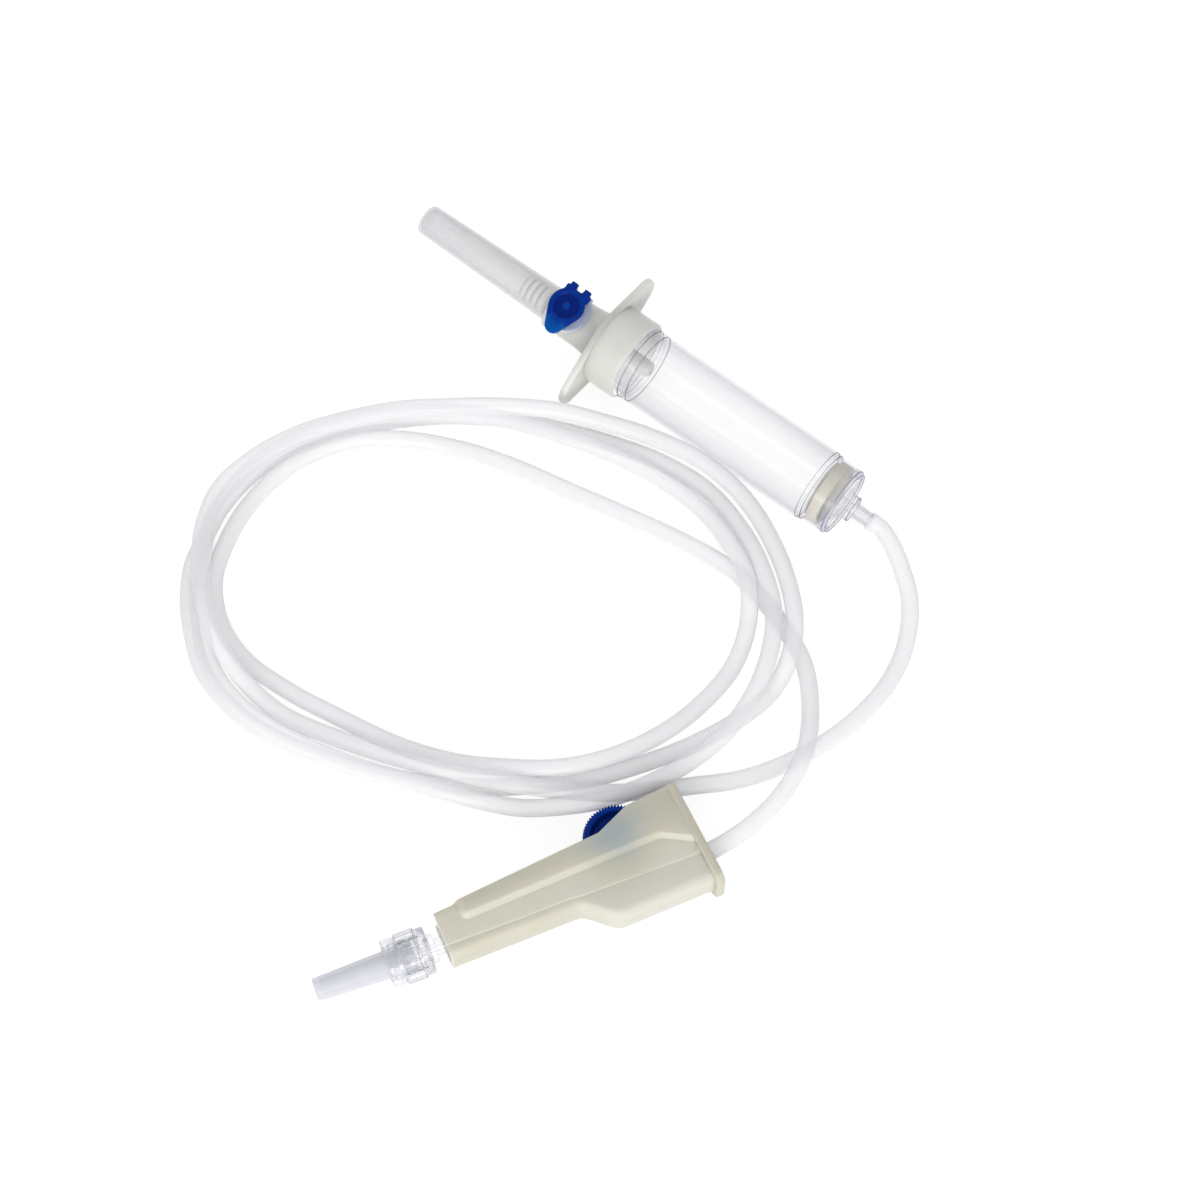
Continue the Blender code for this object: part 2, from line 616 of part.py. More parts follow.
def make_spike_cap(axis, mats):
    """Sleeve over the spike, closed at its tip; its mouth stops at the body's shoulder."""
    mouth = NECK_START
    inner_mouth = SPIKE_CAP_MOUTH_RADIUS - SPIKE_CAP_WALL
    inner_tip = SPIKE_CAP_TIP_RADIUS - SPIKE_CAP_WALL
    profile = [
        (0.0, SPIKE_CAP_TIP + SPIKE_CAP_DOME + SPIKE_CAP_WALL),
        (inner_tip - 0.4, SPIKE_CAP_TIP + SPIKE_CAP_DOME + SPIKE_CAP_WALL),
        (inner_tip, SPIKE_CAP_TIP + SPIKE_CAP_DOME + 2 * SPIKE_CAP_WALL),
        (inner_mouth, mouth),
        (SPIKE_CAP_MOUTH_RADIUS, mouth),
        (SPIKE_CAP_TIP_RADIUS, SPIKE_CAP_TIP + SPIKE_CAP_DOME),
        (SPIKE_CAP_TIP_RADIUS * 0.82, SPIKE_CAP_TIP + SPIKE_CAP_DOME * 0.4),
        (SPIKE_CAP_TIP_RADIUS * 0.45, SPIKE_CAP_TIP + SPIKE_CAP_DOME * 0.1),
        (0.0, SPIKE_CAP_TIP),
    ]
    return smooth(turned("spike_cap", profile, axis, PARTS, mats["frosted"], sides=24))


def make_vent(axis, mats):
    """Filter, seat ring and hinge pin of the air vent, modelled about the vent's own axis."""
    vent = rig("vent_axis", (0.0, 0.0, VENT_STATION), Vector((0.0, 0.0, 1.0)), Vector((1.0, 0.0, 0.0)), axis)

    low = VENT_WELL_FLOOR + WALL_GAP
    disc = cylinder("vent_filter", VENT_WELL_RADIUS - WALL_GAP, low, low + FILTER_THICKNESS, vent, PARTS,
                    mat=mats["mesh"])
    smooth(disc)

    foot = VENT_BOSS_TOP + WALL_GAP
    plug_low = low + FILTER_THICKNESS + WALL_GAP
    plug_radius = VENT_WELL_RADIUS - WALL_GAP
    seat = turned("vent_seat", [
        (SEAT_BORE_RADIUS, SEAT_TOP), (SEAT_NECK_RADIUS, SEAT_TOP), (SEAT_NECK_RADIUS, SEAT_LEDGE_TOP),
        (SEAT_RADIUS, SEAT_LEDGE_TOP), (SEAT_RADIUS, foot), (plug_radius, foot), (plug_radius, plug_low),
        (SEAT_BORE_RADIUS, plug_low),
    ], vent, PARTS, mats["frosted"], sides=24)
    for side in (-1, 1):
        inner = side * (HINGE_LUG_OUTER - HINGE_LUG_WIDTH)
        outer = side * HINGE_LUG_OUTER
        lug = block(f"hinge lug {side}",
                    (min(inner, outer), HINGE_OFFSET - 0.8, SEAT_LEDGE_TOP - 0.2),
                    (max(inner, outer), HINGE_OFFSET + 0.45, HINGE_HEIGHT + HINGE_PIN_RADIUS - 0.05), vent, TOOLS)
        boolean(seat, lug, 'UNION')
    notch = hinge_notch("seat notch", vent)
    boolean(seat, notch, 'DIFFERENCE')
    shaft = cylinder("hinge pin", HINGE_PIN_RADIUS, -HINGE_LUG_OUTER + 0.2, HINGE_LUG_OUTER - 0.2, vent, TOOLS,
                     sides=10, offset=(HINGE_OFFSET, HINGE_HEIGHT), axis='X')
    boolean(seat, shaft, 'UNION')
    smooth(seat)
    return vent


def hinge_notch(name, vent):
    """Recess behind the hinge, between its lugs, that leaves the cap's ears room to turn."""
    half = HINGE_LUG_OUTER - HINGE_LUG_WIDTH
    return block(name, (-half, HINGE_OFFSET - WALL_GAP, HINGE_NOTCH_FLOOR),
                 (half, VENT_CAP_EAR_REACH + 2.0, SEAT_TOP + 1.0), vent, TOOLS)


def vent_cap_outline():
    """Disc with a finger tab on one side and a hinge block with two ears on the other.

    The first coordinate runs along the chamber, the second away from the finger tab.
    """
    middle = VENT_CAP_SHIFT
    tab_centre = (middle + VENT_CAP_TAB_SHIFT, VENT_CAP_TAB_RADIUS - VENT_CAP_TAB_REACH)
    tab = arc(tab_centre, VENT_CAP_TAB_RADIUS, 205.0, 335.0, 7)
    right = arc((middle, 0.0), VENT_CAP_RADIUS, -25.0, 38.0, 6)
    left = arc((middle, 0.0), VENT_CAP_RADIUS, 142.0, 205.0, 6)
    half_ear = VENT_CAP_EAR_WIDTH / 2
    half_space = VENT_CAP_EAR_SPACING / 2
    rear = [(VENT_CAP_BLOCK_HALF, HINGE_OFFSET - HINGE_KNUCKLE_RADIUS - 0.6),
            (VENT_CAP_BLOCK_HALF, VENT_CAP_BLOCK_REACH)]
    for centre in (half_space, -half_space):
        rear += [(centre + half_ear, VENT_CAP_BLOCK_REACH), (centre + half_ear, VENT_CAP_EAR_REACH),
                 (centre - half_ear, VENT_CAP_EAR_REACH), (centre - half_ear, VENT_CAP_BLOCK_REACH)]
    rear += [(-VENT_CAP_BLOCK_HALF, VENT_CAP_BLOCK_REACH),
             (-VENT_CAP_BLOCK_HALF, HINGE_OFFSET - HINGE_KNUCKLE_RADIUS - 0.6)]
    return right + rear + left + tab


def make_vent_cap(vent, mats):
    low = SEAT_TOP + WALL_GAP
    top = low + VENT_CAP_THICKNESS
    cap = prism("vent_cap", vent_cap_outline(), low, top, vent, PARTS, mats["blue"])

    dish = turned("cap dish", [
        (0.0, top + 1.0), (VENT_CAP_DISH_RADIUS + 0.5, top + 1.0), (VENT_CAP_DISH_RADIUS, top),
        (VENT_CAP_DISH_RADIUS - 0.5, top - VENT_CAP_DISH_DEPTH), (VENT_CAP_HUB_RADIUS, top - VENT_CAP_DISH_DEPTH),
        (VENT_CAP_HUB_RADIUS - 0.2, top - 0.25), (0.0, top - 0.25),
    ], vent, TOOLS, sides=24)
    dish.location.x = VENT_CAP_SHIFT * MM
    boolean(cap, dish, 'DIFFERENCE')

    outer = SEAT_BORE_RADIUS - WALL_GAP
    skirt = turned("cap skirt", [
        (outer, low + 0.4), (outer, low - VENT_CAP_SKIRT_DEPTH + 0.3),
        (outer - 0.3, low - VENT_CAP_SKIRT_DEPTH), (outer - VENT_CAP_SKIRT_WALL, low - VENT_CAP_SKIRT_DEPTH),
        (outer - VENT_CAP_SKIRT_WALL, low + 0.4),
    ], vent, TOOLS, sides=20)
    boolean(cap, skirt, 'UNION')

    for side in (-1, 1):
        middle = side * VENT_CAP_EAR_SPACING / 2
        start = middle - VENT_CAP_EAR_WIDTH / 2 + KNUCKLE_INSET
        end = middle + VENT_CAP_EAR_WIDTH / 2 - KNUCKLE_INSET
        knuckle = cylinder(f"knuckle {side}", HINGE_KNUCKLE_RADIUS, start, end, vent, TOOLS, sides=12,
                           offset=(HINGE_OFFSET, HINGE_HEIGHT), axis='X')
        boolean(cap, knuckle, 'UNION')
    clearance = HINGE_PIN_RADIUS + RUNNING_GAP
    bore = cylinder("knuckle bore", clearance, -HINGE_LUG_OUTER - 1.0, HINGE_LUG_OUTER + 1.0, vent, TOOLS,
                    sides=12, offset=(HINGE_OFFSET, HINGE_HEIGHT), axis='X')
    boolean(cap, bore, 'DIFFERENCE')
    return smooth(cap)


def make_chamber(axis, mats):
    inner = CHAMBER_RADIUS - CHAMBER_WALL
    top = CUP_FLOOR + WALL_GAP
    ring = CHAMBER_RADIUS + CHAMBER_RING_HEIGHT
    ring_low = CHAMBER_RING_STATION
    ring_high = CHAMBER_RING_STATION + CHAMBER_RING_LENGTH
    tube = turned("drip_chamber", [
        (inner, CHAMBER_BOTTOM), (CHAMBER_RADIUS, CHAMBER_BOTTOM),
        (CHAMBER_RADIUS, ring_high + 0.3), (ring, ring_high), (ring, ring_low), (CHAMBER_RADIUS, ring_low - 0.3),
        (CHAMBER_RADIUS, top), (inner, top),
    ], axis, PARTS, mats["clear"])
    smooth(tube)

    foot = CUP_FLOOR + WALL_GAP
    dropper = turned("drop_former", [
        (DROPPER_BORE_RADIUS, DROPPER_END), (DROPPER_RADIUS - 0.7, DROPPER_END - 0.1),
        (DROPPER_RADIUS - 0.2, DROPPER_END - 0.5), (DROPPER_RADIUS, DROPPER_END - 1.2),
        (DROPPER_RADIUS + 0.3, foot + DROPPER_FOOT_THICKNESS), (DROPPER_FOOT_RADIUS, foot + DROPPER_FOOT_THICKNESS),
        (DROPPER_FOOT_RADIUS, foot), (DROPPER_BORE_RADIUS, foot),
    ], axis, PARTS, mats["ivory"], sides=SMALL_ROUND)
    smooth(dropper)


def make_base(axis, mats):
    """Clear end cap of the chamber: cup, ribbed face, hub and outlet nozzle."""
    spigot_outer = CHAMBER_RADIUS - CHAMBER_WALL - WALL_GAP
    spigot_inner = spigot_outer - BASE_WALL
    lip = CHAMBER_BOTTOM + WALL_GAP
    plate_top = BASE_FACE - BASE_PLATE_THICKNESS
    base = turned("chamber_base", [
        (NOZZLE_BORE_RADIUS, NOZZLE_END), (NOZZLE_RADIUS, NOZZLE_END), (NOZZLE_RADIUS, HUB_END),
        (HUB_RADIUS, HUB_END), (HUB_RADIUS + 0.2, BASE_FACE), (BASE_RADIUS - BASE_CHAMFER, BASE_FACE),
        (BASE_RADIUS, BASE_FACE - BASE_CHAMFER), (BASE_RADIUS, lip), (spigot_outer, lip),
        (spigot_outer, lip - BASE_SPIGOT_REACH), (spigot_inner, lip - BASE_SPIGOT_REACH),
        (spigot_inner, plate_top), (NOZZLE_BORE_RADIUS, plate_top),
    ], axis, PARTS, mats["clear"])

    room = BASE_RADIUS - BASE_CHAMFER - 0.9
    start = HUB_RADIUS + 0.9
    for i in range(RIB_COUNT):
        turn = math.tau * (i + 0.5) / RIB_COUNT
        half_angle = math.pi / RIB_COUNT
        outline = []
        for radius, sign in ((start, -1), (room, -1), (room, 0), (room, 1), (start, 1)):
            edge = math.asin(min(1.0, RIB_THICKNESS / 2 / radius))
            angle = turn + sign * (half_angle - edge)
            outline.append((radius * math.cos(angle), radius * math.sin(angle)))
        pocket = prism(f"rib pocket {i}", outline, BASE_FACE - POCKET_DEPTH, BASE_FACE + 1.0, axis, TOOLS)
        boolean(base, pocket, 'DIFFERENCE')
    smooth(base)

    ring_outer = spigot_inner - WALL_GAP
    ring_bottom = plate_top - WALL_GAP
    ring = turned("filter_ring", [
        (ring_outer - FILTER_RING_WALL, ring_bottom), (ring_outer, ring_bottom), (ring_outer, FILTER_RING_TOP),
        (ring_outer - FILTER_RING_WALL, FILTER_RING_TOP),
    ], axis, PARTS, mats["filter"])
    smooth(ring)
    mesh_low = FILTER_RING_TOP - WALL_GAP - FILTER_MESH_THICKNESS
    disc = cylinder("filter_mesh", ring_outer, mesh_low, FILTER_RING_TOP - WALL_GAP, axis, PARTS,
                    sides=ROUND, mat=mats["mesh"])
    smooth(disc)


def clamp_point(length, height):
    """Table position of a point of the clamp's side view, in mm."""
    along = heading(CLAMP_HEADING)
    up = heading(CLAMP_HEADING + 90.0)
    return Vector((CLAMP_X, CLAMP_Y, END_FLANGE_HALF_WIDTH)) + length * along + height * up


def make_tube(root, axis, luer, mats):
    outlet = root.matrix_world.inverted() @ axis.matrix_world @ Vector((0.0, 0.0, (NOZZLE_END + WALL_GAP) * MM))
    stem = root.matrix_world.inverted() @ luer.matrix_world @ Vector((0.0, 0.0, (STEM_START - WALL_GAP) * MM))
    points = [tuple(outlet / MM)] + ROUTE + [tuple(clamp_point(*p)) for p in CLAMP_ROUTE] + [tuple(stem / MM)]
    line = smooth_route(points, TUBE_POINT_COUNT)

    curve = bpy.data.curves.new("tube", 'CURVE')
    curve.dimensions = '3D'
    spline = curve.splines.new('POLY')
    spline.points.add(len(line) - 1)
    for point, place in zip(spline.points, line):
        point.co = (*(place * MM), 1.0)
    curve.bevel_depth = TUBE_RADIUS * MM
    curve.bevel_resolution = 2
    curve.use_fill_caps = True
    tube = bpy.data.objects.new("tube", curve)
    tube.parent = root
    curve.materials.append(mats["tube"])
    PARTS.objects.link(tube)


def clamp_mouth_line():
    """Open edge of the clamp in its side view, from the wide end back to the narrow end."""
    return [(CLAMP_LENGTH, CLAMP_WIDE_HEIGHT + 0.3), (CLAMP_RAMP_TOP, CLAMP_WIDE_HEIGHT),
            (CLAMP_RAMP_FOOT, CLAMP_MOUTH_END), (PANEL_START, CLAMP_MOUTH_START)]


def make_clamp(rig_empty, mats):
    """Trough with a belly under its wide end, raised side panels, and a flange at the wide end."""
    outline = clamp_floor_line(0.0) + clamp_mouth_line() + [(PANEL_START - 0.6, CLAMP_NARROW_HEIGHT + 0.1),
                                                            (0.0, CLAMP_NARROW_HEIGHT)]
    floor_top = 1.0

    def on_floor(a, b):
        return abs(a.z - b.z) < 0.01 and max(a.y, b.y) < floor_top and abs(a.x - b.x) > 0.01

    body = prism("clamp_housing", outline, -CLAMP_HALF_WIDTH, CLAMP_HALF_WIDTH, rig_empty, PARTS, mats["clamp"],
                 rounded=on_floor, width=CLAMP_CORNER, steps=3)

    panel_outline = [(PANEL_START, PANEL_RIDGE_HEIGHT + 1.2), (PANEL_START + 1.2, PANEL_RIDGE_HEIGHT),
                     (PANEL_BEND, PANEL_RIDGE_HEIGHT + 0.3), (CLAMP_LENGTH - 1.0, PANEL_END_HEIGHT),
                     (CLAMP_LENGTH, PANEL_END_HEIGHT)] + clamp_mouth_line()

    def on_panel_rim(a, b):
        return abs(a.z - b.z) < 0.01 and min(a.y, b.y) < PANEL_RIDGE_HEIGHT + 2.0 and max(a.x, b.x) < CLAMP_LENGTH

    panels = prism("clamp panels", panel_outline, -PANEL_HALF_WIDTH, PANEL_HALF_WIDTH, rig_empty, TOOLS,
                   rounded=on_panel_rim, width=PANEL_BEVEL, steps=2)
    boolean(body, panels, 'UNION')

    corner = END_FLANGE_CORNER
    side = END_FLANGE_HALF_WIDTH
    low = END_FLANGE_BOTTOM + corner
    flange_outline = (arc((low, -side + corner), corner, 270.0, 180.0, 5)
                      + arc((low, side - corner), corner, 180.0, 90.0, 5)
                      + [(END_FLANGE_TOP - 0.5, side), (END_FLANGE_TOP, side - 0.5),
                         (END_FLANGE_TOP, -side + 0.5), (END_FLANGE_TOP - 0.5, -side)])
    flange = prism("end flange", flange_outline, 0.0, END_FLANGE_THICKNESS, rig_empty, TOOLS, plane='YZ')
    flange.location.x = (CLAMP_LENGTH - END_FLANGE_SETBACK) * MM
    flange.rotation_euler.z = math.radians(END_FLANGE_LEAN)
    boolean(body, flange, 'UNION')

    channel_half = CLAMP_HALF_WIDTH - CLAMP_WALL
    past = 5.0
    floor = clamp_floor_line(CLAMP_FLOOR)
    channel_outline = ([(-past, floor[0][1])] + floor + [(CLAMP_LENGTH + past, floor[-1][1]),
                       (CLAMP_LENGTH + past, END_FLANGE_TOP + past), (-past, END_FLANGE_TOP + past)])
    channel = prism("channel", channel_outline, -channel_half, channel_half, rig_empty, TOOLS)
    boolean(body, channel, 'DIFFERENCE')

    slope = math.radians(GROOVE_SLOPE)
    groove_half = AXLE_RADIUS + RUNNING_GAP
    groove_depth = AXLE_HALF_LENGTH + WALL_GAP
    groove = block("axle groove", (-ROLLER_TRAVEL_IN - groove_half, -groove_half, -groove_depth),
                   (ROLLER_TRAVEL_OUT + groove_half, groove_half, groove_depth), rig_empty, TOOLS)
    groove.location = Vector((ROLLER_STATION, ROLLER_HEIGHT, 0.0)) * MM
    groove.rotation_euler = (0.0, 0.0, slope)
    boolean(body, groove, 'DIFFERENCE')
    return smooth(body, 30.0)


def make_roller(rig_empty, mats):
    """Knurled wheel, dished on both sides, on a pin that slides in the housing's grooves."""
    place = Vector((ROLLER_STATION, ROLLER_HEIGHT, 0.0)) * MM
    half = CLAMP_HALF_WIDTH - CLAMP_WALL - WALL_GAP
    outline = []
    for i in range(ROLLER_TOOTH_COUNT):
        for share, radius in ((0.0, ROLLER_RADIUS), (0.5, ROLLER_RADIUS - ROLLER_TOOTH_DEPTH)):
            turn = math.tau * (i + share) / ROLLER_TOOTH_COUNT
            outline.append((radius * math.cos(turn), radius * math.sin(turn)))
    wheel = prism("clamp_roller", outline, -half, half, rig_empty, PARTS, mats["blue"])
    dish_outer = ROLLER_RADIUS - ROLLER_RIM
    for side, low, high in (("front", half - ROLLER_DISH_DEPTH, half + 1.0),
                            ("back", -half - 1.0, -half + ROLLER_DISH_DEPTH)):
        dish = turned(f"roller dish {side}", [
            (ROLLER_HUB_RADIUS, high), (dish_outer, high), (dish_outer, low), (ROLLER_HUB_RADIUS, low),
        ], rig_empty, TOOLS, sides=24)
        dish.location = place
        boolean(wheel, dish, 'DIFFERENCE')
    bore = cylinder("roller bore", AXLE_RADIUS + RUNNING_GAP, -half - 1.0, half + 1.0, rig_empty, TOOLS,
                    sides=16)
    bore.location = place
    boolean(wheel, bore, 'DIFFERENCE')
    wheel.location = place
    smooth(wheel, 20.0)

    axle = cylinder("roller_axle", AXLE_RADIUS, -AXLE_HALF_LENGTH, AXLE_HALF_LENGTH, rig_empty, PARTS,
                    sides=16, mat=mats["blue"])
    axle.location = place
    smooth(axle)


def make_luer(luer, mats):
    """End fitting: bonded stem with a flat wing, retaining disc and male cone; collar and cap."""
    disc_low = -STEM_DISC_THICKNESS - WALL_GAP
    disc_high = -WALL_GAP
    ridge_low = LOCK_FLOOR + WALL_GAP
    fitting = turned("luer_connector", [
        (STEM_BORE_RADIUS, CONE_END), (CONE_TIP_RADIUS - 0.2, CONE_END), (CONE_TIP_RADIUS, CONE_END - 0.3),
        (CONE_ROOT_RADIUS, ridge_low + SNAP_RIDGE_LENGTH + 0.4), (SNAP_RIDGE_RADIUS, ridge_low + SNAP_RIDGE_LENGTH),
        (SNAP_RIDGE_RADIUS, ridge_low), (CONE_ROOT_RADIUS, ridge_low),
        (CONE_ROOT_RADIUS, disc_high), (STEM_DISC_RADIUS, disc_high), (STEM_DISC_RADIUS, disc_low),
        (STEM_RADIUS, disc_low), (STEM_RADIUS, STEM_START), (STEM_BORE_RADIUS, STEM_START),
    ], luer, PARTS, mats["clear"], sides=SMALL_ROUND)
    for side in (-1, 1):
        inner = side * (STEM_BORE_RADIUS + STEM_RADIUS) / 2
        outer = side * WING_HALF_WIDTH
        wing = block(f"wing {side}", (-WING_THICKNESS / 2, min(inner, outer), WING_START),
                     (WING_THICKNESS / 2, max(inner, outer), disc_low + 0.3), luer, TOOLS)
        boolean(fitting, wing, 'UNION')
    smooth(fitting)

    collar = turned("lock_collar", [
        (LOCK_BORE_RADIUS, LOCK_LENGTH), (LOCK_RIM_RADIUS - 0.2, LOCK_LENGTH), (LOCK_RIM_RADIUS, LOCK_LENGTH - 0.2),
        (LOCK_RIM_RADIUS, LOCK_GRIP_END), (LOCK_GRIP_RADIUS, LOCK_GRIP_END), (LOCK_GRIP_RADIUS, LOCK_RIM_LENGTH),
        (LOCK_RIM_RADIUS, LOCK_RIM_LENGTH), (LOCK_RIM_RADIUS, 0.0),
        (CONE_ROOT_RADIUS + WALL_GAP, 0.0), (CONE_ROOT_RADIUS + WALL_GAP, LOCK_FLOOR), (LOCK_BORE_RADIUS, LOCK_FLOOR),
    ], luer, PARTS, mats["clear"])
    for i in range(LOCK_GRIP_COUNT):
        turn = math.tau * (i + 0.31) / LOCK_GRIP_COUNT
        centre = (LOCK_GRIP_RADIUS + 0.25) * math.cos(turn), (LOCK_GRIP_RADIUS + 0.25) * math.sin(turn)
        flute = cylinder(f"grip flute {i}", LOCK_GRIP_DEPTH + 0.2, LOCK_RIM_LENGTH - 0.2, LOCK_GRIP_END + 0.2, luer,
                         TOOLS, sides=8, offset=centre)
        boolean(collar, flute, 'DIFFERENCE')
    smooth(collar)

    inner_mouth = LUER_CAP_MOUTH_RADIUS - LUER_CAP_WALL
    inner_tip = LUER_CAP_TIP_RADIUS - LUER_CAP_WALL
    cap = turned("luer_cap", [
        (0.0, LUER_CAP_TIP - LUER_CAP_RIM), (LUER_CAP_TIP_RADIUS - 0.5, LUER_CAP_TIP - LUER_CAP_RIM),
        (LUER_CAP_TIP_RADIUS - 0.4, LUER_CAP_TIP), (LUER_CAP_TIP_RADIUS - 0.1, LUER_CAP_TIP),
        (LUER_CAP_TIP_RADIUS, LUER_CAP_TIP - 0.2), (LUER_CAP_MOUTH_RADIUS, LUER_CAP_MOUTH),
        (inner_mouth, LUER_CAP_MOUTH), (inner_tip, LUER_CAP_TIP - LUER_CAP_END_WALL),
        (0.0, LUER_CAP_TIP - LUER_CAP_END_WALL),
    ], luer, PARTS, mats["frosted"], sides=SMALL_ROUND)
    smooth(cap)


clean_scene()
PARTS = collection("infusion_set")
TOOLS = collection("cutters")


def build():
    mats = make_materials()
    root = bpy.data.objects.new("infusion_set", None)
    root.location = -Vector(TABLE_ORIGIN) * MM
    PARTS.objects.link(root)

    drop = FLANGE_RADIUS - CHAMBER_RADIUS
    tilt = math.degrees(math.asin(drop / CHAMBER_BOTTOM))
    lean = math.radians(CHAMBER_ROLL)
    up = Vector((0.0, -math.sin(lean), math.cos(lean)))
    chamber = rig("chamber_axis", (CHAMBER_X, CHAMBER_Y, FLANGE_RADIUS + 0.05), up, heading(CHAMBER_HEADING, -tilt), root)

    clamp_across = heading(CLAMP_HEADING)
    clamp = rig("clamp_side_view", (CLAMP_X, CLAMP_Y, END_FLANGE_HALF_WIDTH), clamp_across,
                Vector((0.0, 0.0, 1.0)), root)
    luer = rig("luer_axis", (LUER_X, LUER_Y, LOCK_GRIP_RADIUS + 0.2), Vector((0.0, 0.0, 1.0)),
               heading(LUER_HEADING, LUER_TIP_RISE), root)
    bpy.context.view_layer.update()

    body = make_spike_body(chamber, mats)
    make_spike_cap(chamber, mats)
    vent = make_vent(chamber, mats)
    boolean(body, hinge_notch("boss notch", vent), 'DIFFERENCE')
    make_vent_cap(vent, mats)
    make_chamber(chamber, mats)
    make_base(chamber, mats)
    make_clamp(clamp, mats)
    make_roller(clamp, mats)
    make_luer(luer, mats)
    make_tube(root, chamber, luer, mats)


build()
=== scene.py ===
# %% [markdown]
# # An infusion set on a white table
#
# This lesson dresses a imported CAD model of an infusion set: a capped spike with an air vent, a
# clear drip chamber, a long soft tube, a roller clamp and a luer lock end with its cap.
# The CAD model gives every place. Each cell after it makes one piece with numpy and hands it to
# the frame, which hides the plain CAD node that the piece stands for.

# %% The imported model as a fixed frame
import math

import bmesh
import bpy
import numpy as np
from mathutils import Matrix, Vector


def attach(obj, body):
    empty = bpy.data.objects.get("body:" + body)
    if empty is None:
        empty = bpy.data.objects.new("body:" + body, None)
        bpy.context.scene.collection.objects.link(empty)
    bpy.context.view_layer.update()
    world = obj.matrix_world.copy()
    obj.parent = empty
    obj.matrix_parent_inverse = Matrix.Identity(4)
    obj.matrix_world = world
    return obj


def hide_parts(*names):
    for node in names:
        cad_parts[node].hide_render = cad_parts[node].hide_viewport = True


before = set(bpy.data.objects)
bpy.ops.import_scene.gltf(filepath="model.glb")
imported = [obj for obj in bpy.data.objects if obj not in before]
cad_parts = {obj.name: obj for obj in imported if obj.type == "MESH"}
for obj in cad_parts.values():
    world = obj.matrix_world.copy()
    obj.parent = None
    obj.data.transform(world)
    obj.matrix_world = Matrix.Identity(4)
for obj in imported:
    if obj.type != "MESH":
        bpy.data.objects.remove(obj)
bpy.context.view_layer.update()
MM = 0.001
MIDDLE = np.array([12.94, 22.95, 0.0])

# %% [markdown]
# ## The camera
#
# The photograph was taken from above with a long lens, so the tube's loops look almost flat.
# A camera can be set by eye, but here its place was worked out from the round pieces: a circle
# on the table shows as an oval, and the oval's shape gives the height of the view.

# %% Camera at the photograph's place
CAMERA_OFFSET = np.array([166.0, -224.4, 641.9])
LENS = 90.3

camera_data = bpy.data.cameras.new("camera")
camera_data.lens = LENS
camera_data.sensor_width = 36.0
camera = bpy.data.objects.new("camera", camera_data)
camera.location = Vector((MIDDLE + CAMERA_OFFSET) * MM)
camera.rotation_euler = Vector(-CAMERA_OFFSET).to_track_quat('-Z', 'Y').to_euler()
bpy.context.scene.collection.objects.link(camera)
bpy.context.scene.camera = camera
bpy.context.scene.view_settings.view_transform = 'Standard'
print("camera at", [round(value, 4) for value in camera.location])

# %% [markdown]
# ## Where the assemblies lie
#
# The chamber, the vent, the clamp and the end fitting each have axes of their own. A piece is
# far easier to describe in such axes, in millimetres, than in the table's. A rig here is an
# origin and three directions, and one small function carries points from it to the table.

# %% Rigs of the four assemblies
X_WAY, Y_WAY, Z_WAY = np.eye(3)


def unit(vectors):
    """The vectors at length 1: v / |v|."""
    return vectors / np.maximum(np.linalg.norm(vectors, axis=-1, keepdims=True), 1e-9)


def direction(degrees, rise=0.0):
    """Unit vector over the table: (cos a cos r, sin a cos r, sin r)."""
    turn, lift = np.radians([degrees, rise])
    return np.array([np.cos(turn) * np.cos(lift), np.sin(turn) * np.cos(lift), np.sin(lift)])


def rig(origin, along_x, along_z):
    """Origin and turn: Z as given, X made square to it, and Y as Z cross X."""
    z_axis = unit(along_z)
    x_axis = unit(along_x - np.dot(along_x, z_axis) * z_axis)
    return np.array(origin), np.column_stack([x_axis, np.cross(z_axis, x_axis), z_axis])


def on_table(points, place):
    """Points in metres: the rig's turn times the point, plus the rig's origin."""
    origin, turn = place
    return (np.asarray(points) @ turn.T + origin) * MM


def inside(place, offset, along_x, along_z):
    """A rig that is described in the axes of another one."""
    origin, turn = place
    return rig(origin + turn @ np.array(offset), turn @ along_x, turn @ along_z)


CHAMBER_RADIUS = 9.05
CHAMBER_END = 61.7
FLANGE_RADIUS = 10.4
VENT_LEAN = math.radians(12.0)
tilt = math.degrees(math.asin((FLANGE_RADIUS - CHAMBER_RADIUS) / CHAMBER_END))
vent_way = np.array([0.0, -math.sin(VENT_LEAN), math.cos(VENT_LEAN)])
chamber_axis = rig(MIDDLE + [-35.4, 51.2, FLANGE_RADIUS + 0.05], vent_way, direction(-0.7, -tilt))
vent_axis = inside(chamber_axis, (0.0, 0.0, -10.9), Z_WAY, X_WAY)
clamp_side = rig(MIDDLE + [27.6, -91.35, 7.0], direction(60.0), Z_WAY)
fitting_axis = rig(MIDDLE + [21.1, -91.6, 6.0], Z_WAY, direction(237.2, 0.6))
rigs = {"chamber": chamber_axis, "vent": vent_axis, "clamp": clamp_side, "fitting": fitting_axis}
for label, place in rigs.items():
    print(label, "starts at", np.round(place[0], 2), "and runs along", np.round(place[1][:, 2], 4))

# %% [markdown]
# ## Surfaces from whole arrays
#
# Nearly every moulded piece of this set is a grid: rows along its axis and columns round it.
# Blender can spin or loft by hand, yet a formula is shorter and stays exact. The grid's points
# are worked out at once, its faces come from one index pattern, and rows that shrink to a point
# are merged, which closes the poles.

# %% Grid surface, rounded outlines and turned bodies
def limited(value):
    """0 below 0, 1 above 1, and the value itself between."""
    return np.clip(value, 0.0, 1.0)


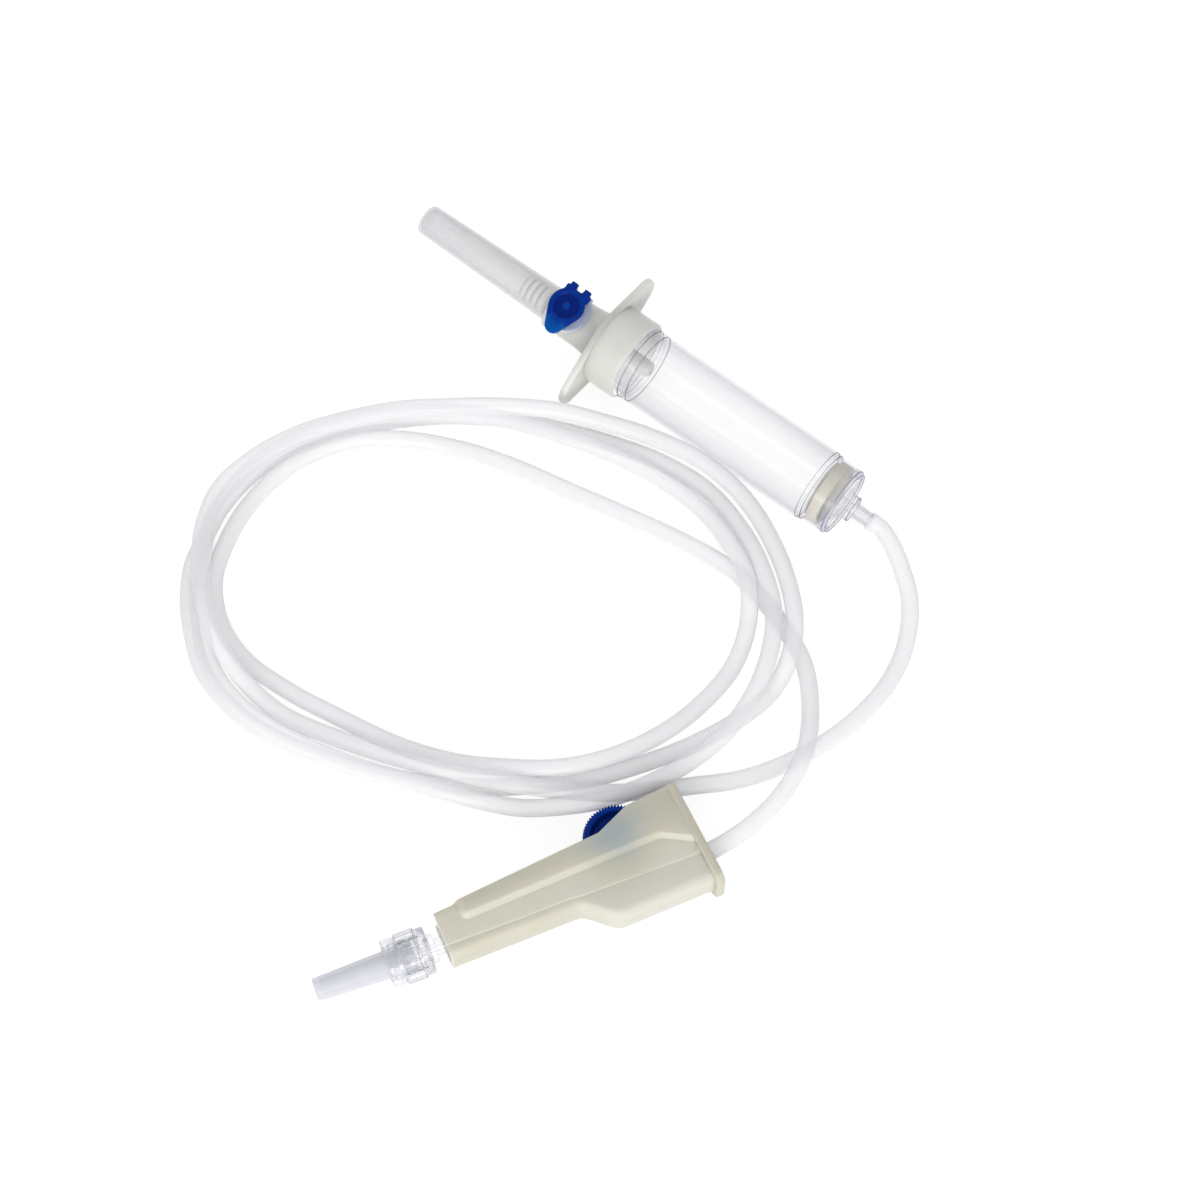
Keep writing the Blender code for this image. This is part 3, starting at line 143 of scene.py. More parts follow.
def grid_faces(rows, columns, rows_meet):
    """Four corner numbers of each cell; the columns always close on themselves."""
    row = np.arange(rows if rows_meet else rows - 1)[:, None]
    column = np.arange(columns)[None, :]
    below = (row + 1) % rows
    beside = (column + 1) % columns
    start, end = row * columns, below * columns
    corners = [start + column, start + beside, end + beside, end + column]
    return np.stack(np.broadcast_arrays(*corners), axis=-1).reshape(-1, 4)


def tidy_mesh(mesh, merge=1e-7):
    """Merges doubled points and turns the faces outwards."""
    shape = bmesh.new()
    shape.from_mesh(mesh)
    bmesh.ops.remove_doubles(shape, verts=shape.verts, dist=merge)
    bmesh.ops.dissolve_degenerate(shape, edges=shape.edges, dist=merge)
    bmesh.ops.recalc_face_normals(shape, faces=shape.faces)
    shape.to_mesh(mesh)
    shape.free()


def grid_object(name, points, rows_meet=False, caps=False, marks=None):
    """Object from an array of rows by columns by three, in metres.

    caps fills the first and the last row with a flat face. marks is a number for each point,
    kept as the attribute mark, which a material reads.
    """
    rows, columns = points.shape[:2]
    mesh = bpy.data.meshes.new(name)
    faces = grid_faces(rows, columns, rows_meet).tolist()
    if caps:
        faces.append(list(range(columns)))
        faces.append(list(range((rows - 1) * columns, rows * columns)))
    mesh.from_pydata(points.reshape(-1, 3), [], faces)
    if marks is not None:
        layer = mesh.attributes.new("mark", 'FLOAT', 'POINT')
        layer.data.foreach_set("value", np.broadcast_to(marks, (rows, columns)).astype(np.float32).ravel())
    tidy_mesh(mesh)
    obj = bpy.data.objects.new(name, mesh)
    bpy.context.scene.collection.objects.link(obj)
    return obj


def rounded(corners, closed=False, steps=4):
    """Outline whose corners are eased by a quadratic Bezier curve.

    corners holds (first, second, cut). A corner P becomes (1-t)^2 A + 2t(1-t) P + t^2 B, where A
    and B lie cut away from P along its two sides.
    """
    corners = np.asarray(corners, float)
    points = corners[:, :2]
    cut = corners[:, 2:].copy()
    if not closed:
        cut[[0, -1]] = 0.0
    before = np.roll(points, 1, axis=0) - points
    after = np.roll(points, -1, axis=0) - points
    start = points + unit(before) * cut
    end = points + unit(after) * cut
    t = np.linspace(0.0, 1.0, steps + 1)[:, None, None]
    line = ((1 - t) ** 2 * start + 2 * t * (1 - t) * points + t ** 2 * end).transpose(1, 0, 2).reshape(-1, 2)
    keep = np.concatenate([[True], np.linalg.norm(np.diff(line, axis=0), axis=1) > 1e-6])
    return line[keep]


def polar(points):
    """Radius, angle and station of points in a rig's axes: sqrt(x^2 + y^2), atan2(y, x) and z."""
    x, y, station = np.moveaxis(points, -1, 0)
    return np.hypot(x, y), np.arctan2(y, x), station


def turned(name, corners, place, sides=96, steps=4, relief=None, reshape=None, marks=None):
    """Body of revolution from (radius, station, cut) corners of its profile.

    Column a of the grid is the profile turned by a: (r cos a, r sin a, s). relief adds a height
    to r, as a function of a, s and r. reshape moves the points in the rig's axes, and marks reads
    them. A profile that starts and ends on the axis closes in two poles, and any other closes on
    itself.
    """
    solid = corners[0][0] == 0.0 and corners[-1][0] == 0.0
    profile = rounded(corners, closed=not solid, steps=steps)
    angle = np.linspace(0.0, 2 * np.pi, sides, endpoint=False)[None, :]
    radius = profile[:, :1] + 0.0 * angle
    station = profile[:, 1:] + 0.0 * angle
    if relief is not None:
        radius = radius + relief(angle, station, radius)
    points = np.stack([radius * np.cos(angle), radius * np.sin(angle), station], axis=-1)
    if reshape is not None:
        points = reshape(points)
    values = None if marks is None else marks(points)
    return grid_object(name, on_table(points, place), rows_meet=not solid, marks=values)


def finish_piece(obj, body, material, nodes=(), sharp=38.0):
    """Material, shading, the body that the piece rides on and the CAD nodes that it stands for."""
    obj.data.materials.clear()
    obj.data.materials.append(material)
    obj.data.shade_smooth()
    obj.data.set_sharp_from_angle(angle=math.radians(sharp))
    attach(obj, body)
    if nodes:
        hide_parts(*nodes)
    print(f"{obj.name}: {len(obj.data.polygons)} faces")
    return obj


print("helpers ready")

# %% [markdown]
# ## The tube
#
# The real tube is soft, slightly milky PVC, 4.1 mm thick, and lies in a little less than four
# loops. A Bezier curve with a bevel would do, but a grid gives a map that runs along the tube.
# The route is a list of points read from the photograph; those without a height lie on the
# table. A Catmull-Rom curve joins them: it passes through every point and leaves each in the
# direction of its neighbours.

# %% The tube's route, in millimetres from the middle of the group
LYING = 2.1
ROUTE = [
    (44, 50.3, 8.4), (48.3, 48.6, 7.6), (52.5, 46, 6.5), (59, 40.5, 4.6), (64, 31.5, 2.8), (66, 21),
    (64.5, 7.5), (60, -5), (53, -16.5), (44.1, -25.5), (35.9, -33.3, 2.4), (29, -39.5, 3.9),
    (22, -44.5, 5.4), (14, -49.5, 6.9), (1.5, -55, 6.3), (-12, -60, 5), (-25.5, -64, 4),
    (-40.5, -67.3, 4.4), (-51.5, -66.5, 6.4), (-60.5, -63.7, 9.3), (-69, -58.5, 10.9), (-76, -51.5, 11),
    (-81.5, -44, 11), (-85, -33.5, 11), (-83.5, -22.5, 11), (-79, -11.5, 11), (-72, -1.5, 11),
    (-64, 7.5, 11), (-55, 15, 11), (-45.5, 22.3, 10.9), (-34, 30, 9.6), (-25.5, 34.5, 7.2),
    (-14.5, 39, 5.2), (-1, 41.4, 4.6), (12, 39.7, 4.6), (24, 34.3, 5.2), (35, 26.3, 6.2),
    (41.7, 18.7, 6.7), (45, 11.5, 5.2), (45.7, 4), (43.5, -6), (38.5, -17.5), (32, -28), (25, -37.3),
    (16.5, -45.5), (6, -54), (-5.5, -61), (-20.5, -67.5), (-37, -72), (-50, -72.5), (-61.5, -69.5),
    (-70, -63.5), (-76.5, -57), (-81, -50), (-83, -43.5), (-85, -35), (-85, -25.5), (-82.5, -15),
    (-76.5, -4.5), (-69, 5), (-58.5, 15), (-46.5, 23), (-33.5, 29), (-21.5, 33.3), (-9.5, 36.3),
    (3.5, 37), (15, 33.5, 3.6), (25.3, 27.8, 5.8), (35.3, 19.3, 6.9), (40.3, 11, 7), (43.5, 0.5, 6.9),
    (44, -10.5, 6.5), (41.5, -21.5, 5.8), (37.5, -31.5, 6.8), (31.5, -41, 7), (24, -48, 5.6),
    (16.5, -53, 3.6), (7.5, -57.7, 4.9), (-4, -62.5, 6.5), (-19.5, -68, 6.6), (-37, -71.7, 6.6),
    (-48.5, -71.7, 6.6), (-59, -68.7, 6.5), (-67, -62.7, 6.5), (-73.5, -56, 6.5), (-79, -48, 6.5),
    (-83.5, -39, 6.5), (-84.5, -29, 6.5), (-83, -18, 6.5), (-77.5, -6, 6.5), (-68.5, 5, 6.5),
    (-57.5, 14.5, 6.5), (-45, 21.5, 6.5), (-31.5, 26.3, 6.5), (-19.5, 30, 5), (-6.5, 32.3, 3.4),
    (6, 31.5, 3.8), (17, 27.5, 5.8), (26, 22, 6.9), (32, 14, 4.2), (35, 4, 2.2), (34.5, -8, 2.2),
    (31.5, -21.3, 4.8), (25.5, -32.7, 5.8), (18, -41.3, 6.3), (9.5, -47, 5.3), (-2, -52.5, 2.4),
    (-14.5, -56.8), (-29.5, -59.5), (-43, -61.3), (-56, -61.3), (-66.5, -57.5), (-74.5, -50),
    (-78.5, -40.5), (-80.3, -29), (-78.3, -17, 3.6), (-72.3, -5.7, 4.3), (-64, 2.3, 4), (-51.5, 10),
    (-37.5, 14.5), (-22, 17.5), (-6.5, 20.5), (9, 23), (23, 23.5), (37.5, 19.5), (48, 14),
    (55.5, 5.5, 3.4), (61, -5, 6.7), (62.7, -16, 6.9), (61.3, -26.5, 6.9),
]
CLAMP_ROUTE = [(62.5, 1.3), (53.0, 1.2), (44.2, 1.2), (35.0, 2.3), (25.0, 3.4), (15.0, 4.2)]
TUBE_RADIUS = 2.05
route = [(*point, LYING)[:3] for point in ROUTE]
print(len(route), "points from the chamber to the clamp")

# %% The tube as a grid along the route
def smooth_line(points, per_piece=12):
    """Centripetal Catmull-Rom curve through the points, as one array.

    Knot times grow by the square root of each distance, and each piece blends three straight
    lines between its neighbours, twice.
    """
    knots = np.vstack([2 * points[0] - points[1], points, 2 * points[-1] - points[-2]])
    p0, p1, p2, p3 = knots[:-3, None], knots[1:-2, None], knots[2:-1, None], knots[3:, None]
    t1 = np.linalg.norm(p1 - p0, axis=2, keepdims=True) ** 0.5
    t2 = t1 + np.linalg.norm(p2 - p1, axis=2, keepdims=True) ** 0.5
    t3 = t2 + np.linalg.norm(p3 - p2, axis=2, keepdims=True) ** 0.5
    t = t1 + (t2 - t1) * np.linspace(0.0, 1.0, per_piece, endpoint=False)[None, :, None]
    a1 = (t1 - t) / t1 * p0 + t / t1 * p1
    a2 = (t2 - t) / (t2 - t1) * p1 + (t - t1) / (t2 - t1) * p2
    a3 = (t3 - t) / (t3 - t2) * p2 + (t - t2) / (t3 - t2) * p3
    b1 = (t2 - t) / t2 * a1 + t / t2 * a2
    b2 = (t3 - t) / (t3 - t1) * a2 + (t - t1) / (t3 - t1) * a3
    line = (t2 - t) / (t2 - t1) * b1 + (t - t1) / (t2 - t1) * b2
    return np.vstack([line.reshape(-1, 3), points[-1:]])


def reach_along(line):
    """Distance from the start at each point: the running sum of the steps."""
    return np.concatenate([[0.0], np.cumsum(np.linalg.norm(np.diff(line, axis=0), axis=1))])


def swept(name, line, radius, marks, sides=24):
    """Round bar along a line: point + r (cos a side + sin a up).

    side is the line's way crossed with the vertical, and up is square to both, so nothing twists.
    Two poles close the ends.
    """
    way = unit(np.gradient(line, axis=0))
    side = unit(np.cross(way, Z_WAY))
    up = np.cross(side, way)
    angle = np.linspace(0.0, 2 * np.pi, sides, endpoint=False)[None, :, None]
    radius = np.broadcast_to(np.asarray(radius, float).reshape(-1, 1, 1), (len(line), 1, 1))
    rings = line[:, None] + radius * (np.cos(angle) * side[:, None] + np.sin(angle) * up[:, None])
    ends = [np.repeat(line[k][None, None], sides, axis=1) for k in (0, -1)]
    along_it = np.concatenate([marks[:1], marks, marks[-1:]])[:, None]
    return grid_object(name, np.vstack([ends[0], rings, ends[1]]), marks=along_it)


def in_metres(points, place=None):
    """Table points, or points in a rig, as metres in the frame."""
    points = np.asarray(points, float)
    return (points + MIDDLE) * MM if place is None else on_table(points, place)


clamp_points = [(length, height, 0.0) for length, height in CLAMP_ROUTE]
outlet = in_metres([(0.0, 0.0, 71.7), (0.0, 0.0, 74.2), (0.0, 0.0, 76.7)], chamber_axis)
stem_end = in_metres([(0.0, 0.0, -7.3)], fitting_axis)
tube_points = np.vstack([outlet, in_metres(route), in_metres(clamp_points, clamp_side), stem_end])
tube_line = smooth_line(tube_points)
tube_line[:, 2] = np.maximum(tube_line[:, 2], TUBE_RADIUS * MM)
tube_reach = reach_along(tube_line)
sleeve = 0.18 * limited(1.0 - (tube_reach / MM - 4.6) / 2.5)
over_nozzle = -0.8 * limited((4.4 - tube_reach / MM) / 0.3)
soft_tube = swept("soft_tube", tube_line, (TUBE_RADIUS + sleeve) * MM, over_nozzle)
print("tube length in m:", round(float(tube_reach[-1]), 4), "from", len(tube_line), "rings")

# %% [markdown]
# ## Finishes
#
# Three kinds of plastic make up the set: clear, milky and solid. A clear wall is hardly seen
# face on and turns grey where the eye looks along it, because the way through it gets longer.
# Layer Weight gives that angle, so one material mixes a see-through shader with a skin by it.
# Real refraction would be noisier and slower, and thin walls bend the view very little. A look
# through the cup and both walls meets more see-through skins than the usual eight, so the last
# line of the cell lets a ray pass thirty-two.

# %% Node helper and the clear plastics
def new_material(name):
    """Empty node material and its tree."""
    material = bpy.data.materials.new(name)
    material.use_nodes = True
    tree = material.node_tree
    tree.nodes.clear()
    return material, tree


def node(tree, kind, settings=None, **inputs):
    """New node; settings are its own properties, and inputs go to sockets by name or number.

    An input is a plain value, another node's socket, or a node, whose first output is meant.
    """
    made = tree.nodes.new("ShaderNode" + kind)
    for key, value in (settings or {}).items():
        setattr(made, key, value)
    for key, value in inputs.items():
        socket = made.inputs[int(key[1:]) if key[0] == "_" else key.replace("_", " ")]
        if isinstance(value, bpy.types.Node):
            value = value.outputs[0]
        if isinstance(value, bpy.types.NodeSocket):
            tree.links.new(value, socket)
        else:
            socket.default_value = value
    return made


def maths(tree, operation, *values, clamp=False):
    """Result of a Math node; the values go to its sockets in their order."""
    sockets = {f"_{k}": value for k, value in enumerate(values)}
    return node(tree, "Math", {"operation": operation, "use_clamp": clamp}, **sockets).outputs[0]


def tinted(tree, factor, first, second):
    """Colour between two others by a factor."""
    return node(tree, "Mix", {"data_type": 'RGBA'}, Factor=factor, A=first, B=second).outputs["Result"]


def cloudy(tree, scale, detail, low, high):
    """Noise on Object coordinates, stretched from its middle range to low and high."""
    where = node(tree, "TexCoord").outputs["Object"]
    noise = node(tree, "TexNoise", Vector=where, Scale=scale, Detail=detail, Roughness=0.55).outputs["Fac"]
    spread = node(tree, "MapRange", Value=noise, From_Min=0.3, From_Max=0.7, To_Min=low, To_Max=high)
    return spread.outputs["Result"]


def clear_plastic(name, skin, face_on, edge_on, power, roughness, scale=300.0, gloss=0.04,
                  uneven=0.05, shine=0.5):
    """See-through skin whose share is face_on + edge_on * facing^power, under a thin clear gloss.

    The share is a little uneven, and the attribute mark raises it, which paints faint reflection streaks and
    lines of shade, and greys thick walls.
    """
    material, tree = new_material(name)
    facing = node(tree, "LayerWeight", Blend=0.5).outputs["Facing"]
    rise = maths(tree, 'POWER', facing, power)
    smooth = maths(tree, 'MULTIPLY_ADD', rise, edge_on, face_on)
    mark = node(tree, "Attribute", {"attribute_name": "mark"}).outputs["Fac"]
    factor = maths(tree, 'ADD', cloudy(tree, scale, 2.0, 1.0 - uneven, 1.0 + uneven), mark)
    share = maths(tree, 'MULTIPLY', smooth, factor, clamp=True)
    ripple = node(tree, "Bump", Strength=0.05, Distance=0.0001, Height=cloudy(tree, scale, 2.0, 0.0, 1.0))
    body = node(tree, "BsdfPrincipled", Base_Color=(*skin, 1.0), Roughness=roughness,
                Normal=ripple, IOR=1.49, Specular_IOR_Level=shine)
    mixed = node(tree, "MixShader", _0=share, _1=node(tree, "BsdfTransparent"), _2=body)
    mirror = node(tree, "BsdfGlossy", Roughness=roughness)
    node(tree, "OutputMaterial", Surface=node(tree, "MixShader", _0=gloss, _1=mixed, _2=mirror))
    return material


CLEAR_WALL = clear_plastic("clear wall", (0.58, 0.59, 0.65), 0.010, 0.25, 1.05, 0.08, gloss=0.02)
CLEAR_RIGID = clear_plastic("clear rigid", (0.56, 0.57, 0.64), 0.022, 0.27, 1.8, 0.06)
# The next two darker clear finishes are painted shade, for thin rings and rims where light is turned away.
CLEAR_EDGE = clear_plastic("clear edge painted shade", (0.16, 0.17, 0.28), 0.26, 0.50, 1.3, 0.08, gloss=0.02)
DARK_ENDS = clear_plastic("clear step painted shade", (0.03, 0.04, 0.17), 0.16, 0.84, 1.8, 0.10,
                          gloss=0.01, shine=0.2)
RIM_TINT = clear_plastic("clear thick rim", (0.50, 0.52, 0.67), 0.10, 0.30, 1.2, 0.10)
SOFT_TUBE = clear_plastic("soft milky tube", (0.91, 0.91, 0.925), 0.42, 0.43, 1.6, 0.30,
                          60.0, 0.02, 0.03, 0.2)
FROSTED = clear_plastic("frosted cap", (0.69, 0.69, 0.715), 0.26, 0.24, 1.4, 0.50, 120.0, 0.02, 0.05, 0.2)
END_FROST = clear_plastic("frosted end cap", (0.70, 0.705, 0.76), 0.42, 0.25, 1.4, 0.50,
                          120.0, 0.02, 0.05, 0.2)
VENT_RING = clear_plastic("vent ring", (0.56, 0.62, 0.84), 0.50, 0.30, 1.5, 0.30, 200.0, 0.03)
DROPPER = clear_plastic("dropper", (0.79, 0.79, 0.77), 0.72, 0.25, 1.0, 0.25, 200.0, 0.03)
bpy.context.scene.cycles.transparent_max_bounces = 32
print("clear finishes ready")

# %% [markdown]
# The solid plastics are ivory, warm ivory for the clamp and royal blue. Moulded plastic is never
# one flat colour: the melt leaves faint clouds, and its skin is finely pitted. Noise at two
# scales gives both, one for the colour and one for the roughness and the bump.

# %% Solid plastics
def moulded_plastic(name, main, other, roughness, glow=0.0, painted_light_tone=None, painted_shade_tone=None, shine=0.5):
    """Two near colours in soft clouds with fine pits.

    Where the attribute mark is above 0 the colour goes to a painted light tone, and below 0 to a
    painted shade tone. What it has above 1 is painted glow, as of a thin wall that is lit from behind.
    """
    material, tree = new_material(name)
    shown = tinted(tree, cloudy(tree, 120.0, 3.0, 0.0, 1.0), (*main, 1.0), (*other, 1.0))
    mark = node(tree, "Attribute", {"attribute_name": "mark"}).outputs["Fac"]
    for tone, way in ((painted_light_tone, 1.0), (painted_shade_tone, -1.0)):
        if tone is not None:
            shown = tinted(tree, maths(tree, 'MULTIPLY', mark, way, clamp=True), shown, (*tone, 1.0))
    bump = node(tree, "Bump", Strength=0.4, Distance=0.00002, Height=cloudy(tree, 4500.0, 2.0, 0.0, 1.0))
    dullness = cloudy(tree, 800.0, 3.0, roughness - 0.05, roughness + 0.05)
    body = node(tree, "BsdfPrincipled", Base_Color=shown, Roughness=dullness, Normal=bump,
                IOR=1.5, Specular_IOR_Level=shine, Subsurface_Weight=glow, Subsurface_Scale=0.004,
                Subsurface_Radius=(1.0, 0.9, 0.75))
    if painted_light_tone is not None:
        tree.links.new(maths(tree, 'SUBTRACT', mark, 1.0, clamp=True), body.inputs["Emission Strength"])
        body.inputs["Emission Color"].default_value = (*painted_light_tone, 1.0)
    node(tree, "OutputMaterial", Surface=body)
    return material


# In the first three materials below, the last two tones are a painted light and a painted shade, chosen by
# the mark.
IVORY = moulded_plastic("ivory moulding", (0.63, 0.63, 0.59), (0.67, 0.665, 0.625), 0.34, 0.5,
                        painted_light_tone=(0.80, 0.80, 0.775), painted_shade_tone=(0.40, 0.405, 0.385))
CLAMP_IVORY = moulded_plastic("clamp ivory", (0.50, 0.478, 0.39), (0.532, 0.51, 0.42), 0.42, 0.3,
                              painted_light_tone=(0.65, 0.637, 0.572), painted_shade_tone=(0.36, 0.40, 0.40), shine=0.4)
ROYAL_BLUE = moulded_plastic("royal blue", (0.001, 0.024, 0.23), (0.0015, 0.032, 0.27), 0.36,
                             painted_light_tone=(0.001, 0.085, 0.38), painted_shade_tone=(0.0005, 0.010, 0.15), shine=0.06)
BEIGE = moulded_plastic("filter ring beige", (0.66, 0.63, 0.53), (0.76, 0.735, 0.645), 0.7, shine=0.1)
print("solid finishes ready")

# %% [markdown]
# ## Light, floor and background
#
# The photograph has a pure white ground with only a breath of shadow. A brighter lamp would
# bleach the set as well, so the floor shows itself to the camera mostly by its own plain white,
# with a smaller share that is lit and so keeps the shadow. A soft lamp in front gives the long
# highlights, weaker ones at the back and the side light the rims, and the world fills in the rest.

# %% World, lamps and floor
def seen_by_eye(tree):
    """1 for camera, glossy and transmission rays, by adding the three and clamping."""
    rays = node(tree, "LightPath").outputs
    direct = maths(tree, 'ADD', rays["Is Camera Ray"], rays["Is Glossy Ray"], clamp=True)
    return maths(tree, 'ADD', direct, rays["Is Transmission Ray"], clamp=True)


world = bpy.data.worlds.new("white studio")
world.use_nodes = True
sky_tree = world.node_tree
sky_tree.nodes.clear()
sky = node(sky_tree, "Background", Color=(0.97, 0.98, 1.0, 1.0), Strength=0.58)
ground = node(sky_tree, "Background", Color=(1.0, 1.0, 1.0, 1.0), Strength=1.0)
sky_mix = node(sky_tree, "MixShader", _0=seen_by_eye(sky_tree), _1=sky, _2=ground)
node(sky_tree, "OutputWorld", Surface=sky_mix)
bpy.context.scene.world = world

floor_material, floor_tree = new_material("white floor")
lit = node(floor_tree, "BsdfDiffuse", Color=(0.86, 0.86, 0.87, 1.0))
lit_share = node(floor_tree, "BsdfDiffuse", Color=(0.24, 0.24, 0.24, 1.0))
own_white = node(floor_tree, "Emission", Strength=0.86)
seen = node(floor_tree, "AddShader", _0=lit_share, _1=own_white)
floor_mix = node(floor_tree, "MixShader", _0=seen_by_eye(floor_tree), _1=lit, _2=seen)
node(floor_tree, "OutputMaterial", Surface=floor_mix)

floor_mesh = bpy.data.meshes.new("floor")
floor_mesh.from_pydata([(-3, -3, 0), (3, -3, 0), (3, 3, 0), (-3, 3, 0)], [], [(0, 1, 2, 3)])
floor = bpy.data.objects.new("floor", floor_mesh)
floor.data.materials.append(floor_material)
bpy.context.scene.collection.objects.link(floor)


def soft_lamp(name, place, width, height, watts, colour):
    """Flat lamp at a place in millimetres, turned to the middle of the set."""
    data = bpy.data.lights.new(name, 'AREA')
    data.shape = 'RECTANGLE'
    data.size = width
    data.size_y = height
    data.energy = watts
    data.color = colour
    lamp = bpy.data.objects.new(name, data)
    lamp.location = Vector(place) * MM
    lamp.rotation_euler = Vector(MIDDLE - np.array(place)).to_track_quat('-Z', 'Y').to_euler()
    bpy.context.scene.collection.objects.link(lamp)
    return lamp


soft_lamp("front_softbox", (480.0, -560.0, 330.0), 0.5, 0.5, 4.35, (1.0, 0.99, 0.97))
soft_lamp("back_softbox", (-520.0, 620.0, 640.0), 0.7, 0.7, 1.6, (0.96, 0.98, 1.0))
soft_lamp("side_softbox", (-180.0, -580.0, 490.0), 0.5, 0.3, 0.6, (1.0, 1.0, 1.0))
print("stage ready")

# %% [markdown]
# ## The tube's finish
#
# The tube is one free hose that rides on the set. Its other end goes back into the set, at the end fitting.

# %% The tube rides on the set
finish_piece(soft_tube, "set", SOFT_TUBE, ["tube"], sharp=80.0)

# %% [markdown]
# ## Spike and body
#
# Spike, neck, body and collar are one ivory moulding. Its outline is turned about the chamber's
# axis in one go, and the slanted cut that sharpens the spike is a limit on one coordinate:
# every point beyond the cutting plane is drawn back to it, with a soft corner. Light that comes
# through the thin wall is painted as a mark: above 1, the plastic glows a little.

# %% Ivory moulding with its spike
SPIKE_TIP = -48.6
SLOT_RADIUS = CHAMBER_RADIUS + 0.3
COLLAR_RADIUS = SLOT_RADIUS + 0.85
CUT_SLOPE = math.tan(math.radians(18.0))


def sharpen(points):
    """The slanted cut of the spike: y meets the line (s - tip) tan 18 degrees - 0.7 in a soft corner.

    The soft lower value of a and b is (a + b - sqrt((a - b)^2 + w^2)) / 2, with w = 0.7 mm.
    """
    limit = np.maximum((points[..., 2] - SPIKE_TIP) * CUT_SLOPE - 0.7, -0.7)
    height = points[..., 1]
    soft = (height + limit - np.sqrt((height - limit) ** 2 + 0.49)) / 2
    cut = points.copy()
    cut[..., 1] = np.where(points[..., 2] < -20.0, soft, height)
    return cut


ridge_starts = -24.4 + 1.7 * np.arange(4)[::-1]
ridges = [(radius, start + step, 0.15) for start in ridge_starts
          for radius, step in ((3.05, 1.15), (3.4, 0.9), (3.4, 0.4), (3.05, 0.05))]
spike_corners = [
    (0.0, 2.0, 0.0), (SLOT_RADIUS, 2.0, 0.1), (SLOT_RADIUS, 8.6, 0.12), (COLLAR_RADIUS - 0.45, 8.6, 0.15),
    (COLLAR_RADIUS, 8.1, 0.2), (COLLAR_RADIUS, -0.65, 0.1), (6.9, -0.65, 0.5), (6.3, -1.7, 0.6),
    (5.5, -5.7, 2.5), (5.5, -15.9, 0.25), (5.2, -16.1, 0.1), (3.05, -16.1, 0.3),
    *ridges, (2.75, -40.6, 3.0), (1.25, -48.5, 0.4), (0.0, SPIKE_TIP, 0.0)]
fine = []
for (r0, s0, c0), (r1, s1, c1) in zip(spike_corners[:-1], spike_corners[1:]):
    fine.append((r0, s0, c0))
    if s1 < -30.0 and r0 > 1.5:
        fine += [(r0 + (r1 - r0) * k / 40, s0 + (s1 - s0) * k / 40, 0.0) for k in range(1, 40)]
fine.append(spike_corners[-1])


def spike_painted_light_and_shade(points):
    """Painted light inside the cup, most of it on the lamp's side, and in the spike, and painted shade in its
    grooves.
    """
    radius, _, station = polar(points)
    in_cup = (station > 1.9) & (station < 8.5) & (radius < SLOT_RADIUS + 0.05)
    groove = (radius < 3.1) & (station > -24.5) & (station < -18.2)
    return (1.42 + 0.045 * points[..., 1]) * in_cup + 1.22 * (station < -17.3) - 1.4 * groove


spike_moulding = turned("spike_moulding", fine, chamber_axis, sides=160, reshape=sharpen, marks=spike_painted_light_and_shade)
finish_piece(spike_moulding, "set", IVORY, ["spike_body"])

# %% [markdown]
# The finger flange is a flat plate: two small circles and a big one with a tight band round
# them. A plate is its outline repeated at a few levels, a little smaller at the first and the
# last, which rounds its rim.

# %% Plates with rounded rims
def arc(centre, radius, start, end, count):
    """Points on a circle between two angles in degrees."""
    turn = np.radians(np.linspace(start, end, count))
    return np.stack([centre[0] + radius * np.cos(turn), centre[1] + radius * np.sin(turn)], axis=1)


def outward(outline):
    """Unit normals of a closed outline: the chord between both neighbours, turned by 90 degrees."""
    chord = np.roll(outline, -1, axis=0) - np.roll(outline, 1, axis=0)
    normal = unit(np.stack([chord[:, 1], -chord[:, 0]], axis=1))
    ahead = np.roll(outline, -1, axis=0)
    area = np.sum(outline[:, 0] * ahead[:, 1] - ahead[:, 0] * outline[:, 1])
    return normal * np.sign(area)


def plate(name, outline, low, high, place, edge=0.3, upright=False, marks=None, lean=None):
    """Flat piece: rings of the outline, moved in by e (1 - sin t) where the rim is rounded.

    The rim's height follows e (1 - cos t). upright stands the outline in the rig's YZ plane and
    counts low and high along X.
    """
    turn = np.linspace(0.0, np.pi / 2, 4)
    drawn_in = edge * (1 - np.sin(turn))
    rise = edge * (1 - np.cos(turn))
    inset = np.concatenate([[edge + 0.15], drawn_in, drawn_in[::-1], [edge + 0.15]])
    level = np.concatenate([[low], low + rise, high - rise[::-1], [high]])
    rings = outline[None] - inset[:, None, None] * outward(outline)[None]
    levels = np.broadcast_to(level[:, None, None], rings.shape[:2] + (1,))
    points = np.concatenate([levels, rings] if upright else [rings, levels], axis=2)
    if lean is not None:
        points = lean(points)
    values = None if marks is None else marks(points)
    return grid_object(name, on_table(points, place), caps=True, marks=values)


WING_REACH = 18.3
WING_TIP = 4.4
hull = math.degrees(math.asin((FLANGE_RADIUS - WING_TIP) / (WING_REACH - WING_TIP)))
flange_outline = np.vstack([
    arc((0.0, 0.0), FLANGE_RADIUS, -hull, hull, 25),
    arc((0.0, WING_REACH - WING_TIP), WING_TIP, hull, 180 - hull, 25),
    arc((0.0, 0.0), FLANGE_RADIUS, 180 - hull, 180 + hull, 25),
    arc((0.0, WING_TIP - WING_REACH), WING_TIP, 180 + hull, 360 - hull, 25)])


def flange_painted_light_and_shade(points):
    """Painted shade of -0.55 round the collar, rising smoothly to painted light of 0.6 out on the wings."""
    out = limited((np.abs(points[..., 1]) - 9.0) / 3.0)
    return 1.15 * out * out * (3 - 2 * out) - 0.55


finger_flange = plate("finger_flange", flange_outline, -1.4, 0.3, chamber_axis, edge=0.45, marks=flange_painted_light_and_shade)
finish_piece(finger_flange, "set", IVORY)

# %% [markdown]
# ## Frosted cap over the spike
#
# The cap is a thin tapered sleeve, blown to a satin skin, so the spike shows through it as a
# soft shape. It is turned as a wall with an inside and an outside.

